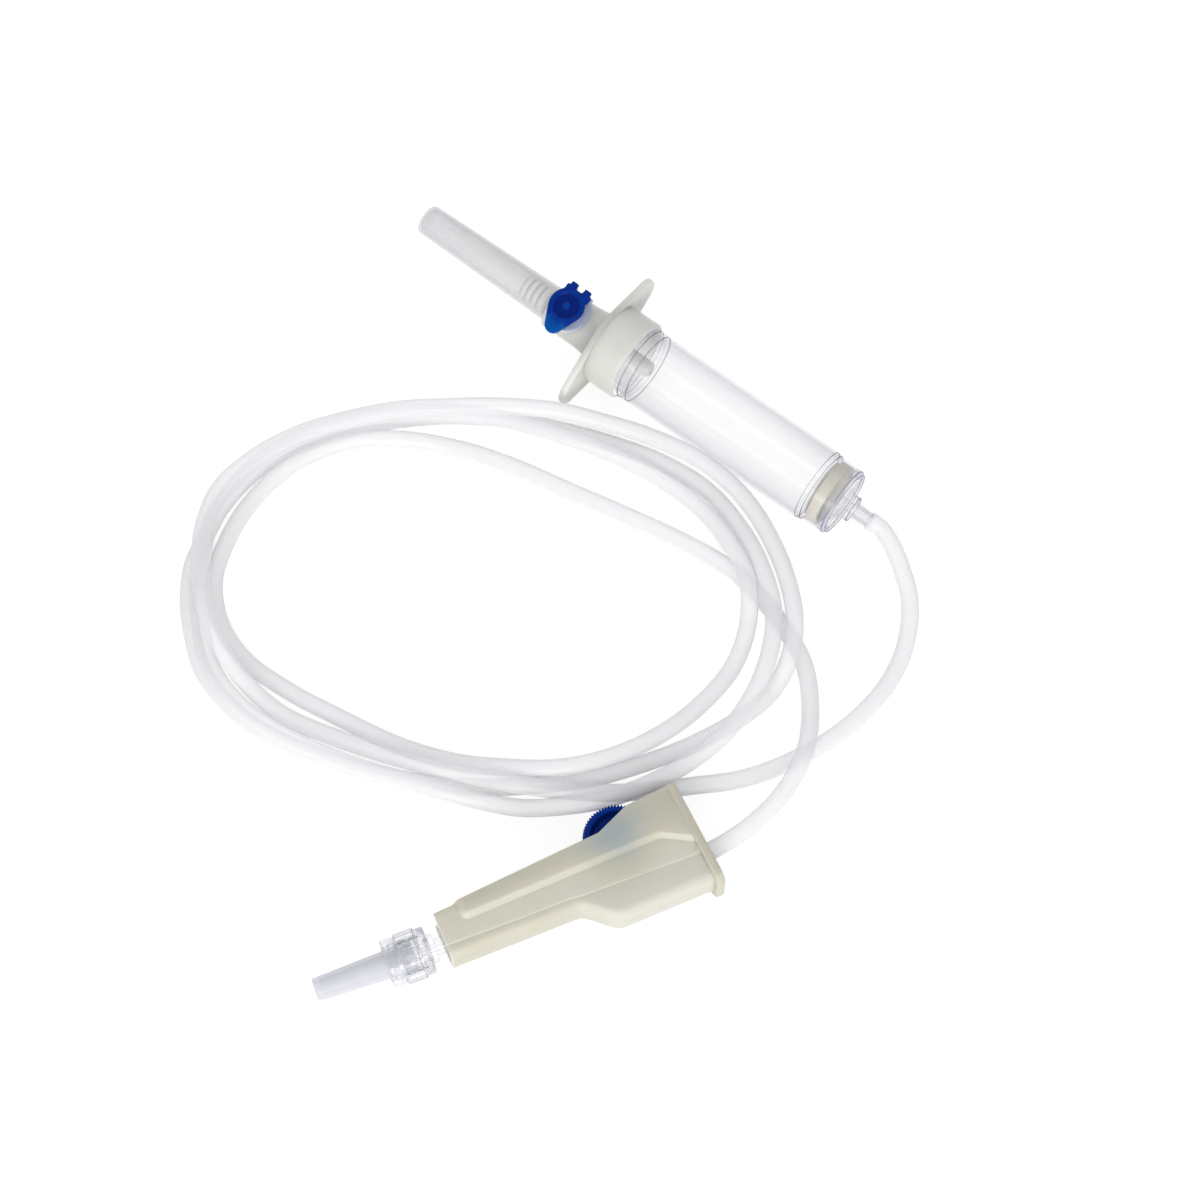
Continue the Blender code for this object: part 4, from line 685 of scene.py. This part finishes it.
# %% Spike cap
spike_cap = turned("spike_cap_sleeve", [
    (0.0, -54.6, 0.0), (2.95, -54.6, 0.3), (3.25, -54.1, 0.3), (3.75, -16.4, 0.1), (4.35, -16.4, 0.15),
    (3.75, -54.5, 0.5), (3.3, -55.1, 0.4), (0.0, -55.2, 0.0)], chamber_axis, sides=96)
finish_piece(spike_cap, "spike_cover", FROSTED, ["spike_cap"])

# %% [markdown]
# ## Air vent
#
# Under the blue lid lies a ring of bluish translucent plastic on an ivory boss, with the air
# filter inside. The lid is drawn as rings that change from its outline, with a finger tab and
# two hinge ears, into the circles of its dish and its hub. Beside the hinge the rims of boss and
# ring are drawn in, because the ears swing down there as the lid opens.

# %% Boss, ring, filter and hinge
def ear_room(angle, station, radius):
    """Rim drawn in by 1.4 mm within 34 degrees of the hinge, so that the lid's ears can swing down."""
    away = np.abs(np.degrees(angle) - 90.0)
    return -1.4 * limited((40.0 - away) / 6.0) * (radius > 4.5) * (station > 4.0)


boss = turned("vent_boss", [
    (0.0, 0.5, 0.0), (5.2, 0.5, 0.1), (5.2, 3.9, 0.0), (5.2, 4.2, 0.0), (5.2, 5.4, 0.25),
    (3.3, 5.4, 0.1), (3.3, 3.4, 0.1), (0.0, 3.4, 0.0)], vent_axis, sides=120, relief=ear_room)
finish_piece(boss, "set", IVORY)
seat = turned("vent_seat_ring", [
    (2.3, 7.0, 0.1), (3.5, 7.0, 0.15), (3.5, 6.0, 0.1), (5.4, 6.0, 0.25), (5.4, 5.7, 0.1), (3.0, 5.7, 0.1),
    (3.0, 5.0, 0.1), (2.3, 5.0, 0.1)], vent_axis, sides=120, relief=ear_room)
finish_piece(seat, "set", VENT_RING, ["vent_seat"])
hinge_across = inside(vent_axis, (0.0, 4.5, 6.75), Y_WAY, X_WAY)
hinge_pin = turned("vent_hinge_pin", [(0.0, -3.5, 0.0), (0.3, -3.5, 0.08), (0.3, 3.5, 0.08), (0.0, 3.5, 0.0)],
                   hinge_across, sides=20)
finish_piece(hinge_pin, "set", VENT_RING)
lug_corners = [(5.8, 3.7, 0.1), (7.0, 3.7, 0.25), (7.0, 4.95, 0.25), (5.8, 4.95, 0.1)]
lug_outline = rounded(lug_corners, closed=True)[:, ::-1]
for label, low, high in (("left", -3.55, -3.0), ("right", 3.0, 3.55)):
    lug = plate(f"vent_hinge_lug_{label}", lug_outline, low, high, vent_axis, edge=0.1, upright=True)
    finish_piece(lug, "set", VENT_RING)

# %% Lid of the vent
def resampled(outline, count):
    """The closed outline again, with points at equal steps along it."""
    closed = np.vstack([outline, outline[:1]])
    reach = reach_along(closed)
    wanted = np.linspace(0.0, reach[-1], count, endpoint=False)
    return np.stack([np.interp(wanted, reach, closed[:, k]) for k in (0, 1)], axis=1)


LID_MIDDLE = np.array([-0.4, 0.0])
tab = arc((-0.2, -5.45), 2.15, 205.0, 335.0, 9)
right_side = arc(LID_MIDDLE, 4.35, -25.0, 38.0, 9)
left_side = arc(LID_MIDDLE, 4.35, 142.0, 205.0, 9)
ears = [(3.4, 3.2), (3.4, 4.8), (2.75, 4.8), (2.75, 5.8), (1.0, 5.8), (1.0, 4.4),
        (-1.0, 4.4), (-1.0, 5.8), (-2.75, 5.8), (-2.75, 4.8), (-3.4, 4.8), (-3.4, 3.2)]
lid_corners = [(x, y, 0.25) for x, y in np.vstack([right_side, ears, left_side, tab])]
lid_outline = resampled(rounded(lid_corners, closed=True, steps=3), 288)
lid_angle = np.unwrap(np.arctan2(lid_outline[:, 1] - LID_MIDDLE[1], lid_outline[:, 0] - LID_MIDDLE[0]))
lid_angle = np.maximum.accumulate(lid_angle)
lid_circle = np.stack([np.cos(lid_angle), np.sin(lid_angle)], axis=1)
lid_out = outward(lid_outline)
lid_rings = [
    (0.0, 7.3), (1.9, 7.3), ("in", 0.25, 7.3), ("in", 0.06, 7.36), ("in", 0.0, 7.5), ("in", 0.0, 8.35),
    ("in", 0.05, 8.5), ("in", 0.14, 8.58), ("in", 0.3, 8.6), (3.55, 8.6), (3.42, 8.58), (3.3, 8.5),
    (3.0, 8.12), (2.9, 8.03), (2.75, 8.0), (2.3, 8.0), (2.2, 8.0), (2.1, 8.0), (1.6, 8.0), (1.5, 8.0),
    (1.3, 8.0), (1.22, 8.04), (1.1, 8.28), (1.0, 8.35), (0.7, 8.36), (0.0, 8.36)]
levels = []
for ring in lid_rings:
    flat = lid_outline - ring[1] * lid_out if ring[0] == "in" else LID_MIDDLE + ring[0] * lid_circle
    levels.append(np.column_stack([flat, np.full(len(flat), ring[-1])]))
lid_points = np.array(levels)
from_middle = np.linalg.norm(lid_points[..., :2] - LID_MIDDLE, axis=2)
on_top = lid_points[..., 2] > 7.9
dashes = (np.abs(from_middle - 1.85) < 0.3) & (np.cos(14 * lid_angle)[None] > 0.3) & on_top
lid_points[..., 2] += 0.14 * dashes
# Painted light and shade on the lid: paler on the thin tab, the hub and the raised dashes, darker in the
# sunken dish.
tab_painted_light = limited((-lid_points[..., 1] - 4.0) / 1.0)
dish = limited((3.3 - from_middle) / 0.4) * on_top
hub = limited((1.15 - from_middle) / 0.3)
lid_painted_light_and_shade = tab_painted_light - 0.75 * dish + 0.95 * hub + 0.45 * dashes
lid = grid_object("vent_lid_cap", on_table(lid_points, vent_axis), marks=lid_painted_light_and_shade)
finish_piece(lid, "vent_lid", ROYAL_BLUE, ["vent_cap"])
plug = turned("vent_lid_plug", [
    (2.0, 7.4, 0.0), (2.0, 6.2, 0.2), (1.7, 5.9, 0.1), (1.3, 5.9, 0.1), (1.3, 7.4, 0.0)], vent_axis, sides=48)
finish_piece(plug, "vent_lid", ROYAL_BLUE)
for label, middle in (("left", -1.75), ("right", 1.75)):
    high, low = middle + 0.66, middle - 0.66
    knuckle = turned(f"vent_lid_knuckle_{label}", [
        (0.4, high, 0.05), (0.65, high, 0.1), (0.65, low, 0.1), (0.4, low, 0.05)], hinge_across, sides=24)
    finish_piece(knuckle, "vent_lid", ROYAL_BLUE)

# %% [markdown]
# ## Drip chamber
#
# The chamber is a clear tube that can be squeezed. The steps of a raised ring near its top and
# the seam with its base show as fine dark lines, because light is turned away inside such steps.
# They are small separate rings with a darker clear finish: painted shade.

# %% Chamber wall, neck and moulded lines
def painted_reflection_streaks(points):
    """Sum of narrow bumps h exp(-((a - centre) / width)^2): painted reflection streaks along the wall."""
    _, angle, station = polar(points)
    total = 0.0 * station
    for centre, width, height in ((4, 7, 0.9), (-13, 6, 0.35), (20, 5, 0.3), (47, 6, 0.35), (75, 8, 0.3),
                                  (120, 8, 0.4), (170, 7, 0.45), (215, 9, 0.4), (260, 7, 0.4), (320, 7, 0.3)):
        away = (np.degrees(angle) - centre + 180.0) % 360.0 - 180.0
        total = total + height * np.exp(-(away / width) ** 2)
    return total


chamber = turned("drip_chamber_wall", [
    (8.45, CHAMBER_END, 0.1), (CHAMBER_RADIUS, CHAMBER_END, 0.1), (CHAMBER_RADIUS, 11.5, 0.2),
    (9.25, 11.1, 0.15), (9.25, 9.9, 0.15), (CHAMBER_RADIUS, 9.6, 0.2), (CHAMBER_RADIUS, 2.3, 0.1),
    (8.45, 2.3, 0.1)], chamber_axis, sides=240, marks=painted_reflection_streaks)
finish_piece(chamber, "set", CLEAR_WALL, ["drip_chamber"])
neck = turned("chamber_neck", [(6.95, 11.2, 0.1), (8.15, 11.2, 0.12), (8.15, 2.05, 0.1), (6.95, 2.05, 0.1)],
              chamber_axis, sides=128)
finish_piece(neck, "set", CLEAR_WALL)


def painted_shade_line(name, radius, station, width, thick, finish=DARK_ENDS):
    """Thin ring of a darker clear finish, a little rounded: a painted shade line."""
    low, high = station - width / 2, station + width / 2
    ring = turned(name, [(radius - thick, high, 0.02), (radius, high, 0.05), (radius, low, 0.05),
                         (radius - thick, low, 0.02)], chamber_axis, sides=160, steps=2)
    return finish_piece(ring, "set", finish)


painted_shade_line("chamber_line_upper", 9.27, 9.5, 0.2, 0.2)
painted_shade_line("chamber_line_lower", 9.08, 11.7, 0.24, 0.3, CLEAR_EDGE)
dropper = turned("drop_former_stub", [
    (0.8, 12.8, 0.1), (1.2, 12.8, 0.3), (1.95, 12.2, 0.5), (2.1, 10.0, 0.5), (2.3, 3.3, 0.2), (3.6, 3.3, 0.1),
    (3.6, 2.3, 0.1), (0.8, 2.3, 0.1)], chamber_axis, sides=64)
finish_piece(dropper, "set", DROPPER, ["drop_former"])

# %% [markdown]
# ## Base of the chamber
#
# The base is a rigid clear cap. Its face is pocketed between six ribs, and the hub and the
# nozzle for the tube stand in the middle. The pockets are pressed into the turned surface by
# lowering the face wherever the angle is far enough from a rib.

# %% Clear base, filter ring and mesh
def pockets(points):
    """Face points between the radii 4.1 and 7.0 sink 1.1 mm, except within 0.4 mm of a rib."""
    radius, angle, station = polar(points)
    beside_rib = np.abs(np.sin(3.0 * angle)) / 3.0 * radius
    on_face = (station > 68.8) & (radius > 4.05) & (radius < 7.05)
    sunk = points.copy()
    sunk[..., 2] -= 1.1 * on_face * limited((beside_rib - 0.4) / 0.12)
    return sunk


def hub_mark(points):
    """3 on the hub and the nozzle, whose clear walls are thicker, and 0 elsewhere."""
    radius, _, station = polar(points)
    return 3.0 * ((station > 69.0) & (radius < 3.5))


face_rows = [(radius, 68.9, 0.0) for radius in (4.0, 4.12, 4.3, 5.0, 6.0, 6.9, 7.02, 7.2)]
base = turned("chamber_base_cap", [
    (1.2, 76.4, 0.05), (1.65, 76.4, 0.1), (1.75, 71.5, 0.05), (3.1, 71.5, 0.15), (3.3, 68.9, 0.1), *face_rows,
    (7.85, 68.9, 0.15), (8.45, 68.3, 0.2), (8.45, 62.0, 0.1), (8.0, 62.0, 0.1), (8.0, 66.9, 0.1),
    (1.2, 66.9, 0.1)], chamber_axis, sides=240, reshape=pockets, marks=hub_mark)
finish_piece(base, "set", CLEAR_RIGID, ["chamber_base"], sharp=30.0)
# Painted shade lines at the base's seam, lip, rim, face, hub and nozzle.
painted_shade_line("base_line_seam", 9.0, 61.0, 0.2, 0.2)
painted_shade_line("base_line_lip", 8.75, 62.2, 0.2, 0.25)
painted_shade_line("base_line_rim", 8.5, 68.2, 0.25, 0.2)
painted_shade_line("base_line_face", 8.0, 68.95, 0.2, 0.25, CLEAR_EDGE)
painted_shade_line("base_line_hub", 3.2, 71.45, 0.22, 0.25)
painted_shade_line("base_line_nozzle", 1.85, 76.0, 0.25, 0.25)
rim_band = turned("base_rim_band", [
    (7.2, 66.95, 0.1), (8.35, 66.95, 0.1), (8.35, 68.5, 0.3), (7.2, 68.5, 0.1)], chamber_axis, sides=160)
finish_piece(rim_band, "set", RIM_TINT)
filter_ring = turned("filter_ring_band", [
    (6.9, 66.0, 0.1), (7.95, 66.0, 0.15), (7.95, 63.3, 0.15), (6.9, 63.3, 0.1)], chamber_axis, sides=128)
finish_piece(filter_ring, "set", BEIGE, ["filter_ring"])

# %% [markdown]
# ## Roller clamp
#
# The clamp is a trough of warm ivory plastic: a thin wall with raised side panels, a belly under
# its wide end, and a flange. Its cross-section keeps the same points from end to end, and only
# their heights and widths change, so the whole body is one grid, carried along its length. The
# pin of the roller runs in a groove inside each panel.

# %% Lines of the clamp along its length
CLAMP_LENGTH = 60.0
SIDE = 5.2
INNER = 3.95
PANEL_SIDE = 6.7
PANEL_START = 5.2
BELLY_START = 29.0
ROLLER_LENGTH = 44.2
ROLLER_HEIGHT = 11.5
features = [0.0, 0.05, 0.2, 0.5, 4.4, 5.2, 5.25, 5.35, 5.6, 6.0, 6.5, 7.0, 15.0, 15.02, 40.4, 41.0, 48.2,
            48.8, 48.38, 48.4, 51.5, 52.5, 59.0, 59.98, 60.0]
length = np.unique(np.concatenate([np.linspace(0.0, CLAMP_LENGTH, 121), features]))
belly = limited((length - BELLY_START) / 9.5)
bottom = -0.6 * limited(length / BELLY_START) - 5.9 * (0.5 - 0.5 * np.cos(np.pi * belly))
mouth = np.interp(length, [0.0, 4.4, 5.4, 40.4, 41.0, 48.2, 48.9, 60.0],
                  [10.9, 11.05, 11.3, 13.2, 13.45, 16.45, 16.6, 16.9])
crease = 3.1 - 0.045 * length
front = limited((length - PANEL_START) / 1.8)
ridge = 6.7 + 1.8 * (1.0 - np.sqrt(1.0 - (1.0 - front) ** 2))
ridge = ridge + np.interp(length, [7.0, 51.5, 53.0, 59.0], [0, 0.3, 0.1, -3.4])
raised = (PANEL_SIDE - SIDE) * np.sqrt(limited((length - PANEL_START) / 1.2))
panel = SIDE + raised
groove_mid = ROLLER_HEIGHT + np.tan(np.radians(2.8)) * (length - ROLLER_LENGTH)
in_groove = ((length >= 15.01) & (length <= 48.39)).astype(float)
print(len(length), "stations along the clamp")

# %% Body of the clamp as one grid
def at(width, height):
    """Line of the wall by its width and height, each a number or an array along the clamp."""
    return np.broadcast_to(width, length.shape), np.broadcast_to(height, length.shape)


turn = np.linspace(0.0, np.pi / 2, 7)
low_side = SIDE - 0.28
corner = 2.4
flat = low_side - corner
outer_path = [at(0.0, bottom), at(flat, bottom)]
outer_path += [at(flat + corner * np.sin(t), bottom + corner * (1 - np.cos(t))) for t in turn[1:]]
lip = np.maximum(crease, bottom + corner + 0.3)
outer_path += [at(low_side, lip - 0.3), at(low_side + 0.03, lip - 0.12), at(SIDE - 0.04, lip),
               at(SIDE, lip + 0.12), at(SIDE, ridge - 0.35)]
outer_path += [at(SIDE + part * raised, ridge + rise) for part, rise in
               ((0.06, -0.1), (0.3, 0.15), (0.72, 0.65), (0.93, 0.95), (1.0, 1.35))]
outer_path += [at(panel, (ridge + mouth) / 2 + 0.7), at(panel, mouth - 0.5), at(panel - 0.1, mouth - 0.18),
               at(panel - 0.3, mouth - 0.04), at(panel - 0.55, mouth)]
inner_path = [at(INNER + 0.3, mouth), at(INNER + 0.08, mouth - 0.08), at(INNER, mouth - 0.3)]
inner_path += [at(INNER + depth * in_groove, groove_mid + rise) for depth, rise in
               ((0.0, 1.2), (1.35, 1.2), (1.35, -1.2), (0.0, -1.2))]
inner_path += [at(INNER, bottom + 2.6), at(INNER - 0.4, bottom + 1.6), at(INNER - 1.4, bottom + 1.2),
               at(0.0, bottom + 1.2)]
widths, heights = np.array(outer_path + inner_path).transpose(1, 0, 2)
within = np.arange(len(widths)) >= len(outer_path)
widths = np.concatenate([widths, -widths[-2:0:-1]])
heights = np.concatenate([heights, heights[-2:0:-1]])
within = np.concatenate([within, within[-2:0:-1]])
section = np.stack([np.broadcast_to(length, widths.shape), heights, widths], axis=-1).transpose(1, 0, 2)
print(section.shape[1], "lines round the wall")

# %% [markdown]
# The plastic is translucent, and its light and shade are painted: the wall is paler below the ridge and
# along its edges as painted light, with painted highlights on the ridge and the lip, the wheel's
# painted shade shows through it as a dull blue patch where the wheel rests, and the thin narrow end
# has a painted glow. Each of these is a smooth bump of the attribute mark, by the distance from its
# line or its middle.

# %% Painted light and shade of the clamp's wall
def eased(value):
    """0 below 0, 1 above 1, and 3 v^2 - 2 v^3 between."""
    value = limited(value)
    return value * value * (3 - 2 * value)


station, height = section[..., 0], section[..., 1]
over_ridge = height - ridge[:, None]
over_lip = height - lip[:, None]
to_roller = np.hypot(station - 43.5, height - 10.0)
# Painted light: paler below the ridge and the lip, with painted highlights along both.
clamp_painted_light = 0.15 * eased((0.8 - over_ridge) / 1.2)
clamp_painted_light = clamp_painted_light + 0.55 * eased((0.3 - over_lip) / 1.4) * eased((station - 24.0) / 16.0)
clamp_painted_light = clamp_painted_light + 0.45 * np.exp(-((over_ridge - 0.5) / 1.1) ** 2) + 0.5 * np.exp(-(over_lip / 0.2) ** 2)
# Painted shade of the wheel through the wall, fixed where the wheel rests.
marks = limited(clamp_painted_light) - 1.2 * np.exp(-(to_roller / 7.0) ** 2)
# Painted glow at the thin narrow end.
near_end = (station < 0.1) | (within[None, :] & (station < 12.0))
marks = np.where(near_end, 1.12, marks)
clamp_body = grid_object("clamp_body", on_table(section, clamp_side), caps=True, marks=marks)
finish_piece(clamp_body, "set", CLAMP_IVORY, ["clamp_housing"], sharp=32.0)

# %% Flange at the clamp's wide end
def lean_in(points):
    """Top leans 3 degrees to the narrow end, and the plate moves to its place along the clamp."""
    cos, sin = math.cos(math.radians(3.0)), math.sin(math.radians(3.0))
    moved = points.copy()
    moved[..., 0] = points[..., 0] * cos - points[..., 1] * sin + CLAMP_LENGTH - 0.6
    moved[..., 1] = points[..., 0] * sin + points[..., 1] * cos
    return moved


flange_corners = [(17.3, 7.0, 0.7), (-8.0, 7.0, 3.6), (-8.0, -7.0, 3.6), (17.3, -7.0, 0.7), (17.3, -4.2, 0.4),
                  (-4.9, -4.2, 1.0), (-4.9, 4.2, 1.0), (17.3, 4.2, 0.4)]
end_outline = rounded(flange_corners, closed=True, steps=8)
end_flange = plate("clamp_end_flange", end_outline, 0.0, 2.0, clamp_side, edge=0.45, upright=True,
                   lean=lean_in)
finish_piece(end_flange, "set", CLAMP_IVORY, sharp=32.0)

# %% [markdown]
# ## Roller and its pin
#
# The wheel has sixty-four fine teeth for the thumb and a deep dish on each side. The teeth are a
# wave that is added to the radius of a turned profile, only near the rim.

# %% Roller
TEETH = 64
roller_axis = inside(clamp_side, (ROLLER_LENGTH, ROLLER_HEIGHT, 0.0), X_WAY, Z_WAY)


def teeth(angle, station, radius):
    """Rim lowered by 0.6 |2 (a n / 2 pi mod 1) - 1|: a saw of n teeth."""
    wave = np.abs((angle * TEETH / (2 * np.pi)) % 1.0 * 2 - 1.0)
    return -0.6 * wave * (radius > 6.5)


roller = turned("clamp_wheel", [
    (1.2, 3.3, 0.1), (2.4, 3.3, 0.15), (2.6, 1.6, 0.2), (5.6, 1.6, 0.3), (6.1, 3.55, 0.15),
    (7.3, 3.65, 0.1), (7.7, 3.35, 0.1), (7.7, -3.35, 0.1), (7.3, -3.65, 0.1), (6.1, -3.55, 0.15),
    (5.6, -1.6, 0.3), (2.6, -1.6, 0.2), (2.4, -3.3, 0.15), (1.2, -3.3, 0.1)],
    roller_axis, sides=6 * TEETH, relief=teeth)
finish_piece(roller, "roller", ROYAL_BLUE, ["clamp_roller"])
pin = turned("clamp_roller_pin", [
    (0.0, -5.0, 0.0), (1.1, -5.0, 0.2), (1.1, 5.0, 0.2), (0.0, 5.0, 0.0)], roller_axis, sides=48)
finish_piece(pin, "roller_pin", ROYAL_BLUE, ["roller_axle"])

# %% [markdown]
# ## End fitting
#
# The fitting is rigid and clear: a stem with two flat wings, a cone, and a collar that turns on
# it and has a thread inside. The thread is a height added to the collar's inner wall that
# follows the angle plus the station, which draws a screw line.

# %% Stem, wings and cone
fitting = turned("fitting_stem", [
    (1.0, 10.4, 0.05), (1.8, 10.4, 0.1), (2.0, 10.1, 0.1), (2.3, 2.1, 0.1), (2.9, 1.7, 0.1),
    (2.9, 1.2, 0.05), (2.3, 1.2, 0.05), (2.3, -0.3, 0.05), (3.3, -0.3, 0.1), (3.3, -1.5, 0.15),
    (1.95, -1.5, 0.1), (1.9, -7.0, 0.1), (1.0, -7.0, 0.05)], fitting_axis, sides=72)
finish_piece(fitting, "set", CLEAR_RIGID, ["luer_connector"])
wing_place = inside(fitting_axis, (0.0, 0.0, 0.0), Y_WAY, X_WAY)


def strip(inner, outer, cut):
    """Outline of a strip along the stem, between two distances from its middle."""
    return rounded([(inner, 1.3, cut), (outer, 1.3, cut), (outer, 6.5, cut), (inner, 6.5, cut)], closed=True)


for label, side in (("upper", -1), ("lower", 1)):
    wing_outline = strip(side * 1.6, side * 3.75, 0.15)
    fin = plate(f"fitting_wing_{label}", wing_outline, -0.45, 0.45, wing_place, edge=0.12)
    finish_piece(fin, "set", CLEAR_RIGID)
    # The wing's rim is a painted shade line in a darker clear finish.
    rim_outline = resampled(strip(side * 3.55, side * 3.8, 0.05), 48)
    rim = plate(f"fitting_wing_{label}_rim", rim_outline, -0.47, 0.47, wing_place, edge=0.05)
    finish_piece(rim, "set", CLEAR_EDGE)

# %% Lock collar with its flutes and thread
def flutes_and_thread(angle, station, radius):
    """Grip flutes outside, cos to a high power, and a two-start thread inside."""
    grip = (radius > 5.6) & (station > 2.2) & (station < 6.4)
    flute = -0.35 * limited(np.cos(16 * angle)) ** 2 * grip
    inner = (radius < 4.2) & (station > 2.4) & (station < 9.4)
    wave = limited(np.cos(2 * (angle + station * 2 * np.pi / 5.0)))
    return flute - 0.45 * wave ** 2 * inner


def collar_painted_shade(points):
    """Painted shade: the skin denser on the edges, on 24 ribs and on the thread: powers of a cosine, cut off
    below 0.
    """
    _, angle, station = polar(points)
    ribs = limited(np.cos(24 * angle)) ** 3 * ((station > 2.2) & (station < 6.4))
    screw = limited(np.cos(2 * angle + station * 4 * np.pi / 2.5)) ** 4
    screw = screw * ((station > 6.6) & (station < 9.5))
    edges = sum((np.abs(station - place) < 0.13) + 0.0 for place in (0.1, 2.1, 6.5, 9.75))
    return 9.0 * ribs + 5.0 * screw + 8.0 * edges


inner_rows = [(4.1, station, 0.0) for station in np.linspace(1.2, 9.5, 34)]
grip_rows = [(5.8, station, 0.0) for station in (6.5, 6.35, 5.8, 4.3, 2.8, 2.25, 2.1)]
collar = turned("lock_collar_shell", [
    (4.1, 9.8, 0.05), (5.2, 9.8, 0.1), (5.35, 9.6, 0.1), (5.35, 6.6, 0.05), *grip_rows,
    (5.35, 2.0, 0.05), (5.35, 0.0, 0.15), (2.6, 0.0, 0.05), (2.6, 0.9, 0.05), (4.1, 0.9, 0.1), *inner_rows],
    fitting_axis, sides=240, steps=3, relief=flutes_and_thread, marks=collar_painted_shade)
finish_piece(collar, "collar", CLEAR_RIGID, ["lock_collar"])

# %% Frosted cap of the cone
end_cap = turned("end_cap_sleeve", [
    (0.0, 25.5, 0.0), (1.9, 25.5, 0.1), (2.1, 26.3, 0.1), (2.5, 26.3, 0.1), (2.6, 26.0, 0.15),
    (3.35, 3.4, 0.1), (2.6, 3.4, 0.05), (1.85, 25.0, 0.1), (0.0, 25.0, 0.0)], fitting_axis, sides=72)
finish_piece(end_cap, "end_cover", END_FROST, ["luer_cap"])

# %% [markdown]
# ## Filter discs
#
# The two fine filter discs are right as they come from the CAD model, so they stay and get a
# woven material of their own.

# %% Woven filter material on the CAD discs
weave, weave_tree = new_material("filter weave")
where = node(weave_tree, "TexCoord").outputs["Object"]
threads = node(weave_tree, "TexVoronoi", Vector=where, Scale=6000.0).outputs["Distance"]
weave_colour = tinted(weave_tree, threads, (0.86, 0.86, 0.83, 1.0), (0.70, 0.70, 0.68, 1.0))
weave_bump = node(weave_tree, "Bump", Strength=0.4, Distance=0.00005, Height=threads)
weave_skin = node(weave_tree, "BsdfPrincipled", Base_Color=weave_colour, Roughness=0.8,
                  Normal=weave_bump)
node(weave_tree, "OutputMaterial", Surface=weave_skin)
for name in ("vent_filter", "filter_mesh"):
    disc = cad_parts[name]
    disc.data.materials.clear()
    disc.data.materials.append(weave)
